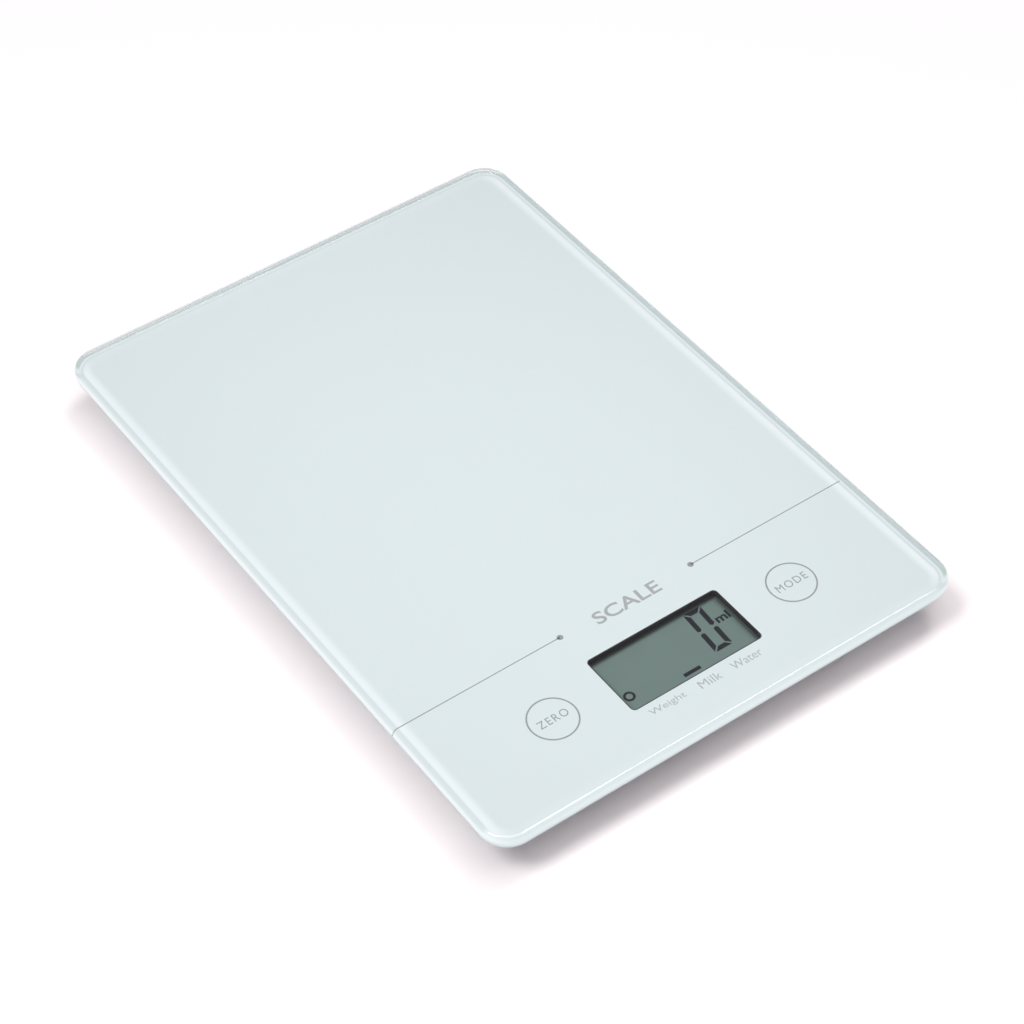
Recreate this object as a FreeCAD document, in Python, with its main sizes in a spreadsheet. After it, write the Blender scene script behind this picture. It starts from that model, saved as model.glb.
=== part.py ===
import FreeCAD, Part

"""Slim glass kitchen scale: a parametric FreeCAD model, in millimetres.

The frame stands at the middle of the scale on the surface that it rests on:
+X is to the user's right, +Y points away from the user and +Z points up. The
display and its two touch keys lie near the front edge, at -Y.

The glass platform is bonded to a shallow housing. The housing stands on four
feet, and each foot pushes on the tongue of its own load sensor. Every length
is a cell of the sheet "sizes"; the formulas below name those cells.
"""

import math
import os
import re

import Sketcher

SIZES = {
    # glass platform
    "glass_width": 160.0,
    "glass_length": 230.0,
    "glass_thickness": 4.0,
    "glass_corner": 9.0,
    "glass_edge": 1.5,
    # housing under the glass
    "housing_inset": 12.0,
    "housing_corner": 10.0,
    "housing_height": 11.0,
    "foot_lift": 2.5,
    "cover_floor": 1.5,
    "cover_wall": 1.6,
    "cover_edge": 1.4,
    "cover_rib_wall": 1.0,
    "cover_rib_height": 1.5,
    "frame_plate": 1.5,
    "frame_rim_wall": 1.2,
    "frame_rim_depth": 1.5,
    "frame_rib_wall": 1.2,
    "frame_rib_depth": 1.5,
    "rib_spread_across": 70.0,
    "rib_from_back": 23.15,
    "fit_clearance": 0.15,
    "tape_thickness": 0.5,
    "tape_width": 3.0,
    "tape_margin": 0.8,
    "tape_bar": 8.0,
    "rib_setback": 6.0,
    "label_length": 56.0,
    "label_width": 32.0,
    "label_corner": 2.0,
    "label_depth": 0.3,
    "label_y": -22.0,
    # display and touch keys
    "display_from_front": 28.6,
    "key_spacing": 83.4,
    "window_length": 45.4,
    "window_width": 22.1,
    "window_corner": 1.5,
    "lcd_depth": 3.0,
    "lcd_border": 1.2,
    "lcd_plate": 1.1,
    "lcd_ledge": 2.5,
    "reflector_thickness": 0.2,
    "holder_wall": 0.9,
    "holder_clearance": 0.1,
    "holder_lip": 0.9,
    "holder_shelf": 1.5,
    "collar_margin": 0.4,
    "collar_wall": 0.8,
    "collar_clearance": 0.2,
    "zebra_width": 1.8,
    "zebra_setback": 0.35,
    "key_spring_coil": 8.0,
    "key_spring_wire": 0.5,
    "key_spring_turns": 5.0,
    "key_opening": 11.0,
    # circuit board
    "board_end": 1.8,
    "board_width": 38.0,
    "board_thickness": 1.0,
    "board_gap": 1.4,
    "board_screw_inset": 4.0,
    "holder_ear": 5.5,
    "holder_ear_step": 2.3,
    "holder_ear_height": 3.0,
    "holder_ear_inset": 5.5,
    "chip_diameter": 12.0,
    "chip_height": 1.4,
    "chip_edge": 1.2,
    "component_length": 2.0,
    "component_width": 1.2,
    "component_height": 0.8,
    "component_pitch": 3.4,
    "component_row_x": -3.4,
    "component_from_back": 2.4,
    # fasteners: the threads, their pilot holes and their heads
    "thread_clearance": 0.02,
    "small_thread": 1.6,
    "small_head": 3.0,
    "small_head_height": 0.7,
    "small_screw_length": 4.0,
    "small_post": 4.6,
    "case_thread": 2.2,
    "case_head": 4.6,
    "case_head_height": 1.6,
    "case_screw_length": 7.0,
    "case_post": 6.4,
    "case_well": 7.6,
    "case_well_bore": 5.2,
    "case_well_height": 1.6,
    "case_seat": 1.3,
    "case_screw_from_side": 8.0,
    "case_screw_from_end": 37.0,
    "screw_hole_clearance": 0.2,
    # load sensors and feet
    "sensor_side_gap": 1.6,
    "sensor_end_gap": 2.2,
    "sensor_width": 16.0,
    "sensor_length": 24.0,
    "sensor_thickness": 1.0,
    "sensor_corner": 3.0,
    "sensor_lift": 1.3,
    "sensor_slot": 1.2,
    "sensor_tongue": 6.0,
    "sensor_tongue_reach": 15.0,
    "sensor_bar": 4.6,
    "gauge_width": 4.0,
    "gauge_length": 5.0,
    "gauge_offset": 3.6,
    "post_shank": 4.6,
    "post_head": 7.0,
    "post_head_height": 0.6,
    "post_clearance": 0.3,
    "pad_diameter": 13.0,
    "pad_height": 2.9,
    "pad_edge": 0.6,
    "pad_web": 1.2,
    "pad_groove_depth": 0.4,
    "pad_groove_outer": 10.0,
    "pad_groove_inner": 8.0,
    "foot_recess": 14.6,
    "foot_recess_depth": 1.0,
    "foot_boss": 16.2,
    "foot_boss_height": 0.5,
    # battery
    "battery_y": 24.0,
    "cell_diameter": 20.0,
    "cell_height": 3.2,
    "cell_clearance": 0.4,
    "cell_rim": 0.4,
    "cap_margin": 3.0,
    "cap_clearance": 0.1,
    "cap_thickness": 2.4,
    "cap_recess": 0.1,
    "cap_edge": 0.4,
    "cap_turn": 50.0,
    "coin_slot_length": 15.0,
    "coin_slot_width": 2.0,
    "coin_slot_depth": 1.1,
    "lug_width": 6.0,
    "lug_reach": 1.4,
    "lug_thickness": 0.9,
    "lug_clearance": 0.5,
    "stop_width": 9.8,
    "stop_angle": 85.0,
    "channel_width": 2.4,
    "channel_height": 1.2,
    "well_wall": 1.2,
    "well_plate": 1.0,
    "contact_strip": 0.25,
    "contact_width": 2.2,
    "contact_clearance": 0.1,
    "contact_tongue": 2.8,
    "contact_dimple": 3.0,
    "contact_room": 1.0,
    "contact_reach": 3.6,
    # unit button and its switch
    "button_x": 26.0,
    "button_from_back": 6.4,
    "button_diameter": 5.0,
    "button_clearance": 0.15,
    "button_recess": 9.0,
    "button_recess_depth": 0.5,
    "button_setback": 0.25,
    "button_flange": 7.0,
    "button_flange_height": 0.4,
    "button_edge": 0.4,
    "flange_gap": 0.1,
    "switch_side": 6.0,
    "switch_height": 1.3,
    "stem_diameter": 2.2,
    "stem_clearance": 0.1,
    "stem_travel_room": 0.1,
    "button_travel": 0.3,
    # wiring
    "wire_diameter": 0.8,
    "wire_pitch": 1.2,
    "wire_bend": 3.0,
    "wire_landing": 1.2,
    "rear_wire_gap": 3.3,
    "rear_wire_landing": 9.5,
    "battery_wire_step": 7.9,
    "battery_wire_y": -20.0,
}

# Levels above the table, from the feet up to the glass.
COVER_UNDER = "foot_lift"
FLOOR_TOP = f"({COVER_UNDER} + cover_floor)"
FRAME_TOP = f"({COVER_UNDER} + housing_height)"
FRAME_UNDER = f"({FRAME_TOP} - frame_plate)"
GLASS_UNDER = f"({FRAME_TOP} + tape_thickness)"
LCD_TOP = f"({GLASS_UNDER} - lcd_depth)"
LCD_UNDER = f"({LCD_TOP} - 2 * lcd_plate)"
REFLECTOR_UNDER = f"({LCD_UNDER} - reflector_thickness)"
BOARD_TOP = f"({REFLECTOR_UNDER} - board_gap)"
BOARD_UNDER = f"({BOARD_TOP} - board_thickness)"
SENSOR_UNDER = f"({FLOOR_TOP} + sensor_lift)"
SENSOR_TOP = f"({SENSOR_UNDER} + sensor_thickness)"
CAP_UNDER = f"({COVER_UNDER} + cap_recess)"
CAP_TOP = f"({CAP_UNDER} + cap_thickness)"
CHANNEL_TOP = f"({FLOOR_TOP} + channel_height)"
CELL_TOP = f"({CAP_TOP} + cell_height)"
ROOF_UNDER = f"({CELL_TOP} + contact_room)"
LUG_TOP = BOARD_TOP
LUG_UNDER = f"({LUG_TOP} - contact_strip)"
TONGUE_UNDER = f"({CELL_TOP} - contact_tongue)"
LEAF_UNDER = f"({ROOF_UNDER} - contact_strip)"
BUTTON_UNDER = f"({COVER_UNDER} + button_setback)"
FLANGE_UNDER = f"({FLOOR_TOP} + flange_gap)"
FLANGE_TOP = f"({FLANGE_UNDER} + button_flange_height)"
WIRE_LEVEL = f"({BOARD_TOP} + wire_diameter / 2)"

# Plan positions and overall plan sizes.
HOUSING_WIDTH = "(glass_width - 2 * housing_inset)"
HOUSING_LENGTH = "(glass_length - 2 * housing_inset)"
CASE_SCREW_X = f"({HOUSING_WIDTH} / 2 - case_screw_from_side)"
CASE_SCREW_Y = f"({HOUSING_LENGTH} / 2 - case_screw_from_end)"
FOOT_X = f"({HOUSING_WIDTH} / 2 - cover_wall - sensor_side_gap - sensor_width / 2)"
FOOT_Y = f"({HOUSING_LENGTH} / 2 - cover_wall - sensor_end_gap - sensor_length / 2)"
DISPLAY_Y = "(display_from_front - glass_length / 2)"
LCD_LENGTH = "(window_length + 2 * lcd_border)"
LCD_WIDTH = "(window_width + 2 * lcd_border)"
LCD_FRONT = f"({DISPLAY_Y} - {LCD_WIDTH} / 2)"
LCD_BACK = f"({DISPLAY_Y} + {LCD_WIDTH} / 2 + lcd_ledge)"
HOLDER_FRONT = f"({LCD_FRONT} - holder_clearance - holder_wall)"
HOLDER_BACK = f"({LCD_BACK} + holder_clearance + holder_wall)"
HOLDER_LENGTH = f"({LCD_LENGTH} + 2 * holder_clearance + 2 * holder_wall)"
BOARD_LENGTH = "(key_spacing + key_spring_coil + 2 * board_end)"
BOARD_FRONT = HOLDER_FRONT
BOARD_BACK = f"({BOARD_FRONT} + board_width)"
EAR_X = f"({HOLDER_LENGTH} / 2 + holder_ear_step)"
EAR_FRONT = f"({HOLDER_FRONT} + holder_ear_inset)"
EAR_BACK = f"({HOLDER_BACK} - holder_ear_inset)"
BOARD_SCREW_X = f"({BOARD_LENGTH} / 2 - board_screw_inset)"
BOARD_SCREW_FRONT = f"({BOARD_FRONT} + board_screw_inset)"
BOARD_SCREW_BACK = f"({BOARD_BACK} - board_screw_inset)"
BUTTON_Y = f"({BOARD_BACK} - button_from_back)"
SENSOR_SCREW_Y = "(sensor_length / 2 - sensor_bar / 2)"
WELL_BORE = "(cell_diameter + 2 * cell_clearance)"
WELL_OUTER = f"({WELL_BORE} + 2 * well_wall)"
CAP_DIAMETER = "(cell_diameter + 2 * cap_margin)"
CAP_BORE = f"({CAP_DIAMETER} + 2 * cap_clearance)"
CHANNEL_BORE = f"({CAP_BORE} + 2 * channel_width)"
CHANNEL_OUTER = f"({CHANNEL_BORE} + 2 * well_wall)"

FUNCTIONS = ("min", "abs")
CORNERS = {
    "front_left": (-1, -1),
    "front_right": (1, -1),
    "back_left": (-1, 1),
    "back_right": (1, 1),
}
SIDES = (-1, 1)
LUG_COUNT = 3
COMPONENT_COUNT = 7
TINY = 1e-4


def cell_names(formula):
    """Points each plain word of a formula at its cell of the sheet."""

    def cell(word):
        name = word.group()
        return name if name in FUNCTIONS else "sizes." + name

    return re.sub(r"[a-z_][a-z_0-9]*", cell, formula)


def signed(sign, formula):
    """A formula on the left or the right, the front or the back."""
    return f"({sign} * ({formula}))"


document = FreeCAD.newDocument("KitchenScale")
sheet = document.addObject("Spreadsheet::Sheet", "sizes")
for row, (alias, size) in enumerate(SIZES.items(), start=1):
    sheet.set(f"A{row}", alias)
    sheet.set(f"B{row}", str(size))
    sheet.setAlias(f"B{row}", alias)
document.recompute()


def value(formula):
    """The number that a formula gives with the sheet's present sizes."""
    return float(sheet.evalExpression(cell_names(formula)))


def bind(sketch, constraint, formula):
    """Adds a dimension to a sketch and ties it to a formula."""
    index = sketch.addConstraint(constraint)
    name = f"size_{index}"
    sketch.renameConstraint(index, name)
    sketch.setExpression(f"Constraints.{name}", cell_names(formula))


def pin_point(sketch, curve, end, x, y):
    """Holds one point of a curve at x and y from the sketch's origin."""
    distance = Sketcher.Constraint
    bind(sketch, distance("DistanceX", -1, 1, curve, end, value(x)), x)
    bind(sketch, distance("DistanceY", -1, 1, curve, end, value(y)), y)


def circle(diameter, x="0", y="0"):
    """An outline: a circle about x and y."""

    def draw(sketch):
        centre = FreeCAD.Vector(value(x), value(y), 0)
        ring = Part.Circle(centre, FreeCAD.Vector(0, 0, 1), value(diameter) / 2)
        index = sketch.addGeometry(ring, False)
        bind(sketch, Sketcher.Constraint("Diameter", index, value(diameter)), diameter)
        pin_point(sketch, index, 3, x, y)

    return draw


def polygon(*points):
    """An outline: straight edges from corner to corner, and back to the first."""

    def draw(sketch):
        corners = [FreeCAD.Vector(value(x), value(y), 0) for x, y in points]
        ends = corners[1:] + corners[:1]
        first = sketch.GeometryCount
        edges = [Part.LineSegment(a, b) for a, b in zip(corners, ends)]
        sketch.addGeometry(edges, False)
        for step, (x, y) in enumerate(points):
            following = first + (step + 1) % len(points)
            sketch.addConstraint(Sketcher.Constraint("Coincident", first + step, 2, following, 1))
            pin_point(sketch, first + step, 1, x, y)

    return draw


def rectangle(length, width, x="0", y="0"):
    """An outline: a rectangle about x and y, its length along X."""
    left, right = f"{x} - {length} / 2", f"{x} + {length} / 2"
    front, back = f"{y} - {width} / 2", f"{y} + {width} / 2"
    return polygon((left, front), (right, front), (right, back), (left, back))


def rounded(length, width, corner, x="0", y="0"):
    """An outline: a rectangle about x and y with an arc at each corner."""

    def draw(sketch):
        vector, rule = FreeCAD.Vector, Sketcher.Constraint
        across, along, radius = value(length) / 2, value(width) / 2, value(corner)
        middle = vector(value(x), value(y), 0)
        turns = ((1, -1), (1, 1), (-1, 1), (-1, -1))
        centres = [
            middle + vector(i * (across - radius), j * (along - radius), 0) for i, j in turns
        ]
        starts = [-math.pi / 2, 0.0, math.pi / 2, math.pi]
        arcs = [
            Part.ArcOfCircle(Part.Circle(c, vector(0, 0, 1), radius), a, a + math.pi / 2)
            for c, a in zip(centres, starts)
        ]
        sides = [
            Part.LineSegment(a.EndPoint, b.StartPoint) for a, b in zip(arcs, arcs[1:] + arcs[:1])
        ]
        first = sketch.GeometryCount
        sketch.addGeometry(arcs + sides, False)
        for turn in range(4):
            arc, side, following = first + turn, first + 4 + turn, first + (turn + 1) % 4
            sketch.addConstraint(rule("Tangent", arc, 2, side, 1))
            sketch.addConstraint(rule("Tangent", side, 2, following, 1))
            sketch.addConstraint(rule("Vertical" if turn % 2 == 0 else "Horizontal", side))
            if turn:
                sketch.addConstraint(rule("Equal", first, arc))
        bind(sketch, rule("Radius", first, radius), corner)
        right, back = f"{x} + {length} / 2", f"{y} + {width} / 2"
        left, front = f"{x} - {length} / 2", f"{y} - {width} / 2"
        bind(sketch, rule("DistanceX", -1, 1, first + 4, 1, value(right)), right)
        bind(sketch, rule("DistanceY", -1, 1, first + 5, 1, value(back)), back)
        bind(sketch, rule("DistanceX", -1, 1, first + 6, 1, value(left)), left)
        bind(sketch, rule("DistanceY", -1, 1, first + 7, 1, value(front)), front)

    return draw


def route(points, bend):
    """An open path of upright and level legs joined by quarter arcs of one radius."""

    def draw(sketch):
        rule = Sketcher.Constraint
        corners = [FreeCAD.Vector(value(x), value(y), 0) for x, y in points]
        ways = [(b - a).normalize() for a, b in zip(corners, corners[1:])]
        radius = value(bend)
        last = len(ways) - 1
        legs, arcs = [], []
        for step, way in enumerate(ways):
            start = corners[step] + way * (radius if step else 0)
            end = corners[step + 1] - way * (0 if step == last else radius)
            legs.append(Part.LineSegment(start, end))
        for before, after, corner in zip(ways, ways[1:], corners[1:]):
            centre = corner - before * radius + after * radius
            turns_left = before.cross(after).z > 0
            outward = -after if turns_left else before
            start = math.atan2(outward.y, outward.x)
            ring = Part.Circle(centre, FreeCAD.Vector(0, 0, 1), radius)
            arcs.append(Part.ArcOfCircle(ring, start, start + math.pi / 2))
        curves = [legs[0]]
        for arc, leg in zip(arcs, legs[1:]):
            curves += [arc, leg]
        sketch.addGeometry(curves, False)
        for index, curve in enumerate(curves[:-1]):
            here, there = corner_ends(curve, curves[index + 1])
            sketch.addConstraint(rule("Tangent", index, here, index + 1, there))
        for step, way in enumerate(ways):
            sketch.addConstraint(rule("Horizontal" if abs(way.x) > 0.5 else "Vertical", 2 * step))
        for step in range(len(arcs)):
            if step == 0:
                bind(sketch, rule("Radius", 1, radius), bend)
            else:
                sketch.addConstraint(rule("Equal", 1, 2 * step + 1))
        pin_point(sketch, 0, 1, *points[0])
        for step in range(1, last + 1):
            x, y = points[step]
            if abs(ways[step].x) > 0.5:
                bind(sketch, rule("DistanceY", -1, 1, 2 * step, 1, value(y)), y)
            else:
                bind(sketch, rule("DistanceX", -1, 1, 2 * step, 1, value(x)), x)
        x, y = points[-1]
        if abs(ways[last].x) > 0.5:
            bind(sketch, rule("DistanceX", -1, 1, 2 * last, 2, value(x)), x)
        else:
            bind(sketch, rule("DistanceY", -1, 1, 2 * last, 2, value(y)), y)

    return draw


def corner_ends(first, second):
    """Which end of each of two curves lies at their shared point: 1 start, 2 end."""
    for here, point in ((1, first.StartPoint), (2, first.EndPoint)):
        for there, other in ((1, second.StartPoint), (2, second.EndPoint)):
            if point.distanceToPoint(other) < TINY:
                return here, there
    raise ValueError("two curves of a route don't meet")


class Piece:
    """One piece of the scale: a PartDesign body grown from sketches."""

    made = []

    def __init__(self, name, x="0", y="0"):
        """Starts the body, placed at x and y."""
        self.name = name
        self.body = document.addObject("PartDesign::Body", name)
        self.body.Label = name
        self.body.AllowCompound = True
        self.body.setExpression("Placement.Base.x", cell_names(x))
        self.body.setExpression("Placement.Base.y", cell_names(y))
        Piece.made.append(self)

    def plane(self, role):
        """One of the body's own origin planes or axes."""
        return next(item for item in self.body.Origin.OriginFeatures if item.Role == role)

    def sketch(self, outlines, level="0", x="0", y="0", turn="0", role="XY_Plane"):
        """Draws outlines on an origin plane, lifted to a level and turned about x, y."""
        drawing = self.body.newObject("Sketcher::SketchObject", self.name + "_sketch")
        drawing.AttachmentSupport = [(self.plane(role), "")]
        drawing.MapMode = "FlatFace"
        spin = FreeCAD.Rotation(FreeCAD.Vector(0, 0, 1), value(turn))
        drawing.AttachmentOffset = FreeCAD.Placement(FreeCAD.Vector(0, 0, 0), spin)
        for axis, formula in (("x", x), ("y", y), ("z", level)):
            drawing.setExpression(f"AttachmentOffset.Base.{axis}", cell_names(formula))
        if turn != "0":
            drawing.setExpression("AttachmentOffset.Rotation.Angle", cell_names(turn))
        for outline in outlines:
            outline(drawing)
        return drawing

    def volume(self):
        """The body's volume once everything so far is worked out."""
        document.recompute()
        return self.body.Shape.Volume if not self.body.Shape.isNull() else 0.0

    def feature(self, kind, drawing):
        """Adds a feature that works from a sketch."""
        made = self.body.newObject("PartDesign::" + kind, self.name + "_" + kind.lower())
        made.Profile = drawing
        drawing.Visibility = False
        return made

    def settle(self, before, made, adds):
        """Fails if a feature that should add or cut material didn't."""
        change = self.volume() - before
        if (change <= TINY) if adds else (change >= -TINY):
            raise RuntimeError(f"{self.name}: {made.Name} changed the volume by {change}")
        return made

    def pad(self, outlines, level, height, **place):
        """Grows a prism upwards from a level."""
        before = self.volume()
        made = self.feature("Pad", self.sketch(outlines, level, **place))
        made.setExpression("Length", cell_names(height))
        return self.settle(before, made, True)

    def cut(self, outlines, level, height, **place):
        """Cuts a prism upwards from a level."""
        before = self.volume()
        made = self.feature("Pocket", self.sketch(outlines, level, **place))
        made.Reversed = True
        made.setExpression("Length", cell_names(height))
        return self.settle(before, made, False)

    def turned(self, *points):
        """Turns a profile of (radius, level) corners about the body's own upright axis."""
        before = self.volume()
        drawing = self.sketch([polygon(*points)], role="XZ_Plane")
        made = self.feature("Revolution", drawing)
        made.ReferenceAxis = (drawing, ["V_Axis"])
        made.Angle = 360
        return self.settle(before, made, True)

    def around(self, feature):
        """Repeats a feature evenly about its own sketch's upright axis."""
        before = self.volume()
        pattern = self.body.newObject("PartDesign::PolarPattern", self.name + "_ring")
        pattern.Originals = [feature]
        pattern.Axis = (feature.Profile[0], ["N_Axis"])
        pattern.Angle = 360
        pattern.Occurrences = LUG_COUNT
        self.body.Tip = pattern
        return self.settle(before, pattern, feature.TypeId != "PartDesign::Pocket")

    def fillet(self, formula, chosen):
        """Rounds the edges that pass a test."""
        self.volume()
        base = self.body.Tip
        names = [
            f"Edge{index}"
            for index, edge in enumerate(base.Shape.Edges, start=1)
            if chosen(edge)
        ]
        if not names:
            raise RuntimeError(f"{self.name}: no edge to round")
        made = self.body.newObject("PartDesign::Fillet", self.name + "_fillet")
        made.Base = (base, names)
        made.setExpression("Radius", cell_names(formula))
        self.body.Tip = made
        return self.settle(base.Shape.Volume, made, False)


def lies_at(level):
    """A test for edges that lie flat at a level."""

    def test(edge):
        box = edge.BoundBox
        height = value(level)
        return abs(box.ZMin - height) < TINY and abs(box.ZMax - height) < TINY

    return test


def screws(name, places, head, head_height, thread, length, head_under):
    """Identical screws, each with its head below and its shank above."""
    piece = Piece(name)
    seat = f"({head_under} + {head_height})"
    piece.pad([circle(head, x, y) for x, y in places], head_under, head_height)
    piece.pad([circle(thread, x, y) for x, y in places], seat, length)
    cross_length, cross_width = f"{head} * 2 / 3", f"{head} / 6"
    for arm in ((cross_length, cross_width), (cross_width, cross_length)):
        slots = [rectangle(*arm, x, y) for x, y in places]
        piece.cut(slots, head_under, f"{head_height} / 2")
    return piece


CASE_SCREWS = [
    (signed(i, CASE_SCREW_X), y)
    for i in SIDES
    for y in (signed(-1, CASE_SCREW_Y), "0", CASE_SCREW_Y)
]
BOARD_SCREWS = [
    (signed(i, BOARD_SCREW_X), y) for i in SIDES for y in (BOARD_SCREW_FRONT, BOARD_SCREW_BACK)
]
HOLDER_SCREWS = [(signed(i, EAR_X), y) for i in SIDES for y in (EAR_FRONT, EAR_BACK)]
SENSOR_SCREWS = [
    (signed(i, FOOT_X), f"({signed(j, FOOT_Y)} + {k} * {SENSOR_SCREW_Y})")
    for i, j in CORNERS.values()
    for k in SIDES
]
FEET = [(signed(i, FOOT_X), signed(j, FOOT_Y)) for i, j in CORNERS.values()]


def glass_platform():
    """Tempered glass with rounded corners and pencil-rounded edges."""
    piece = Piece("glass_platform")
    outline = rounded("glass_width", "glass_length", "glass_corner")
    piece.pad([outline], GLASS_UNDER, "glass_thickness")
    top = f"({GLASS_UNDER} + glass_thickness)"
    piece.fillet("glass_edge", lambda e: lies_at(GLASS_UNDER)(e) or lies_at(top)(e))


def bonding_tape():
    """Foam tape between the housing's top and the glass: a border and two bars."""
    piece = Piece("bonding_tape")
    width = f"({HOUSING_WIDTH} - 2 * tape_margin)"
    length = f"({HOUSING_LENGTH} - 2 * tape_margin)"
    inner_corner = "housing_corner - tape_margin - tape_width"
    piece.pad(
        [
            rounded(width, length, "housing_corner - tape_margin"),
            rounded(f"({width} - 2 * tape_width)", f"({length} - 2 * tape_width)", inner_corner),
        ],
        FRAME_TOP,
        "tape_thickness",
    )
    bars = [
        rectangle(f"({width} - tape_width)", "tape_bar", "0", y)
        for y in (f"({BOARD_BACK} + tape_bar)", CASE_SCREW_Y)
    ]
    piece.pad(bars, FRAME_TOP, "tape_thickness")


def top_frame():
    """The housing's upper half: a ribbed plate with posts for every screw."""
    piece = Piece("top_frame")
    plate = rounded(HOUSING_WIDTH, HOUSING_LENGTH, "housing_corner")
    piece.pad([plate], FRAME_UNDER, "frame_plate")
    rim_inset = "(cover_wall + fit_clearance)"
    rim_width = f"({HOUSING_WIDTH} - 2 * {rim_inset})"
    rim_length = f"({HOUSING_LENGTH} - 2 * {rim_inset})"
    rim_corner = f"(housing_corner - {rim_inset})"
    piece.pad(
        [
            rounded(rim_width, rim_length, rim_corner),
            rounded(
                f"({rim_width} - 2 * frame_rim_wall)",
                f"({rim_length} - 2 * frame_rim_wall)",
                f"({rim_corner} - frame_rim_wall)",
            ),
        ],
        f"({FRAME_UNDER} - frame_rim_depth)",
        "frame_rim_depth",
    )
    rib_level = f"({FRAME_UNDER} - frame_rib_depth)"
    rib_front = f"({BOARD_BACK} + rib_setback)"
    rib_back = f"({rim_length} / 2 - frame_rim_wall / 2)"
    rib_run = f"({rib_back} - {rib_front})"
    rib_middle = f"(({rib_back} + {rib_front}) / 2)"
    lengthwise = [
        rectangle("frame_rib_wall", rib_run, signed(i, "rib_spread_across / 2"), rib_middle)
        for i in SIDES
    ]
    piece.pad(lengthwise, rib_level, "frame_rib_depth")
    crosswise = [
        rectangle(f"({rim_width} - frame_rim_wall)", "frame_rib_wall", "0", y)
        for y in (rib_front, rib_middle, f"({rib_back} - rib_from_back)")
    ]
    piece.pad(crosswise, rib_level, "frame_rib_depth")
    case_level = f"({FLOOR_TOP} + case_well_height)"
    posts = (
        (CASE_SCREWS, "case_post", "case_thread", case_level, "case_screw_length"),
        (BOARD_SCREWS, "small_post", "small_thread", BOARD_TOP, "small_screw_length"),
        (SENSOR_SCREWS, "small_post", "small_thread", SENSOR_TOP, "small_screw_length"),
    )
    for places, post, thread, level, depth in posts:
        solid = [circle(post, x, y) for x, y in places]
        piece.pad(solid, level, f"({FRAME_UNDER} - {level})")
        pilot = [circle(f"({thread} + 2 * thread_clearance)", x, y) for x, y in places]
        piece.cut(pilot, level, depth)
    collar_room = "2 * (collar_margin + collar_wall + collar_clearance)"
    window = rounded(
        f"(window_length + {collar_room})",
        f"(window_width + {collar_room})",
        "window_corner + collar_wall",
        "0",
        DISPLAY_Y,
    )
    keys = [circle("key_opening", signed(i, "key_spacing / 2"), DISPLAY_Y) for i in SIDES]
    piece.cut([window] + keys, FRAME_UNDER, "frame_plate")


def base_cover():
    """The housing's lower half: a tray with the feet's holes and the battery's well."""
    piece = Piece("base_cover")
    outline = rounded(HOUSING_WIDTH, HOUSING_LENGTH, "housing_corner")
    piece.pad([outline], COVER_UNDER, "cover_floor")
    wall = [
        outline,
        rounded(
            f"({HOUSING_WIDTH} - 2 * cover_wall)",
            f"({HOUSING_LENGTH} - 2 * cover_wall)",
            "housing_corner - cover_wall",
        ),
    ]
    piece.pad(wall, FLOOR_TOP, f"({FRAME_UNDER} - {FLOOR_TOP})")
    piece.fillet("cover_edge", lies_at(COVER_UNDER))
    rib_front, rib_back = f"({BOARD_BACK} + rib_setback)", f"({CASE_SCREW_Y} - case_well)"
    rib_run = f"({rib_back} - {rib_front})"
    rib_middle = f"(({rib_back} + {rib_front}) / 2)"
    lengthwise = [
        rectangle("cover_rib_wall", rib_run, signed(i, "rib_spread_across / 2"), rib_middle)
        for i in SIDES
    ]
    piece.pad(lengthwise, FLOOR_TOP, "cover_rib_height")
    crosswise = [
        rectangle("rib_spread_across", "cover_rib_wall", "0", y) for y in (rib_front, rib_back)
    ]
    piece.pad(crosswise, FLOOR_TOP, "cover_rib_height")
    wells = [circle("case_well", x, y) for x, y in CASE_SCREWS]
    piece.pad(wells, FLOOR_TOP, "case_well_height")
    deep = "(cover_floor + case_well_height - case_seat)"
    piece.cut([circle("case_well_bore", x, y) for x, y in CASE_SCREWS], COVER_UNDER, deep)
    shank = "(case_thread + 2 * screw_hole_clearance)"
    through = [circle(shank, x, y) for x, y in CASE_SCREWS]
    piece.cut(through, f"({COVER_UNDER} + {deep})", "case_seat")
    piece.pad([circle("foot_boss", x, y) for x, y in FEET], FLOOR_TOP, "foot_boss_height")
    piece.cut([circle("foot_recess", x, y) for x, y in FEET], COVER_UNDER, "foot_recess_depth")
    post_hole = "(post_shank + 2 * post_clearance)"
    rest = "(cover_floor + foot_boss_height - foot_recess_depth)"
    holes = [circle(post_hole, x, y) for x, y in FEET]
    piece.cut(holes, f"({COVER_UNDER} + foot_recess_depth)", rest)
    dish = circle("button_recess", "button_x", BUTTON_Y)
    piece.cut([dish], COVER_UNDER, "button_recess_depth")
    label = rounded("label_length", "label_width", "label_corner", "0", "label_y")
    piece.cut([label], COVER_UNDER, "label_depth")
    hole = circle("(button_diameter + 2 * button_clearance)", "button_x", BUTTON_Y)
    piece.cut([hole], COVER_UNDER, "cover_floor")
    battery_well(piece)


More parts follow.
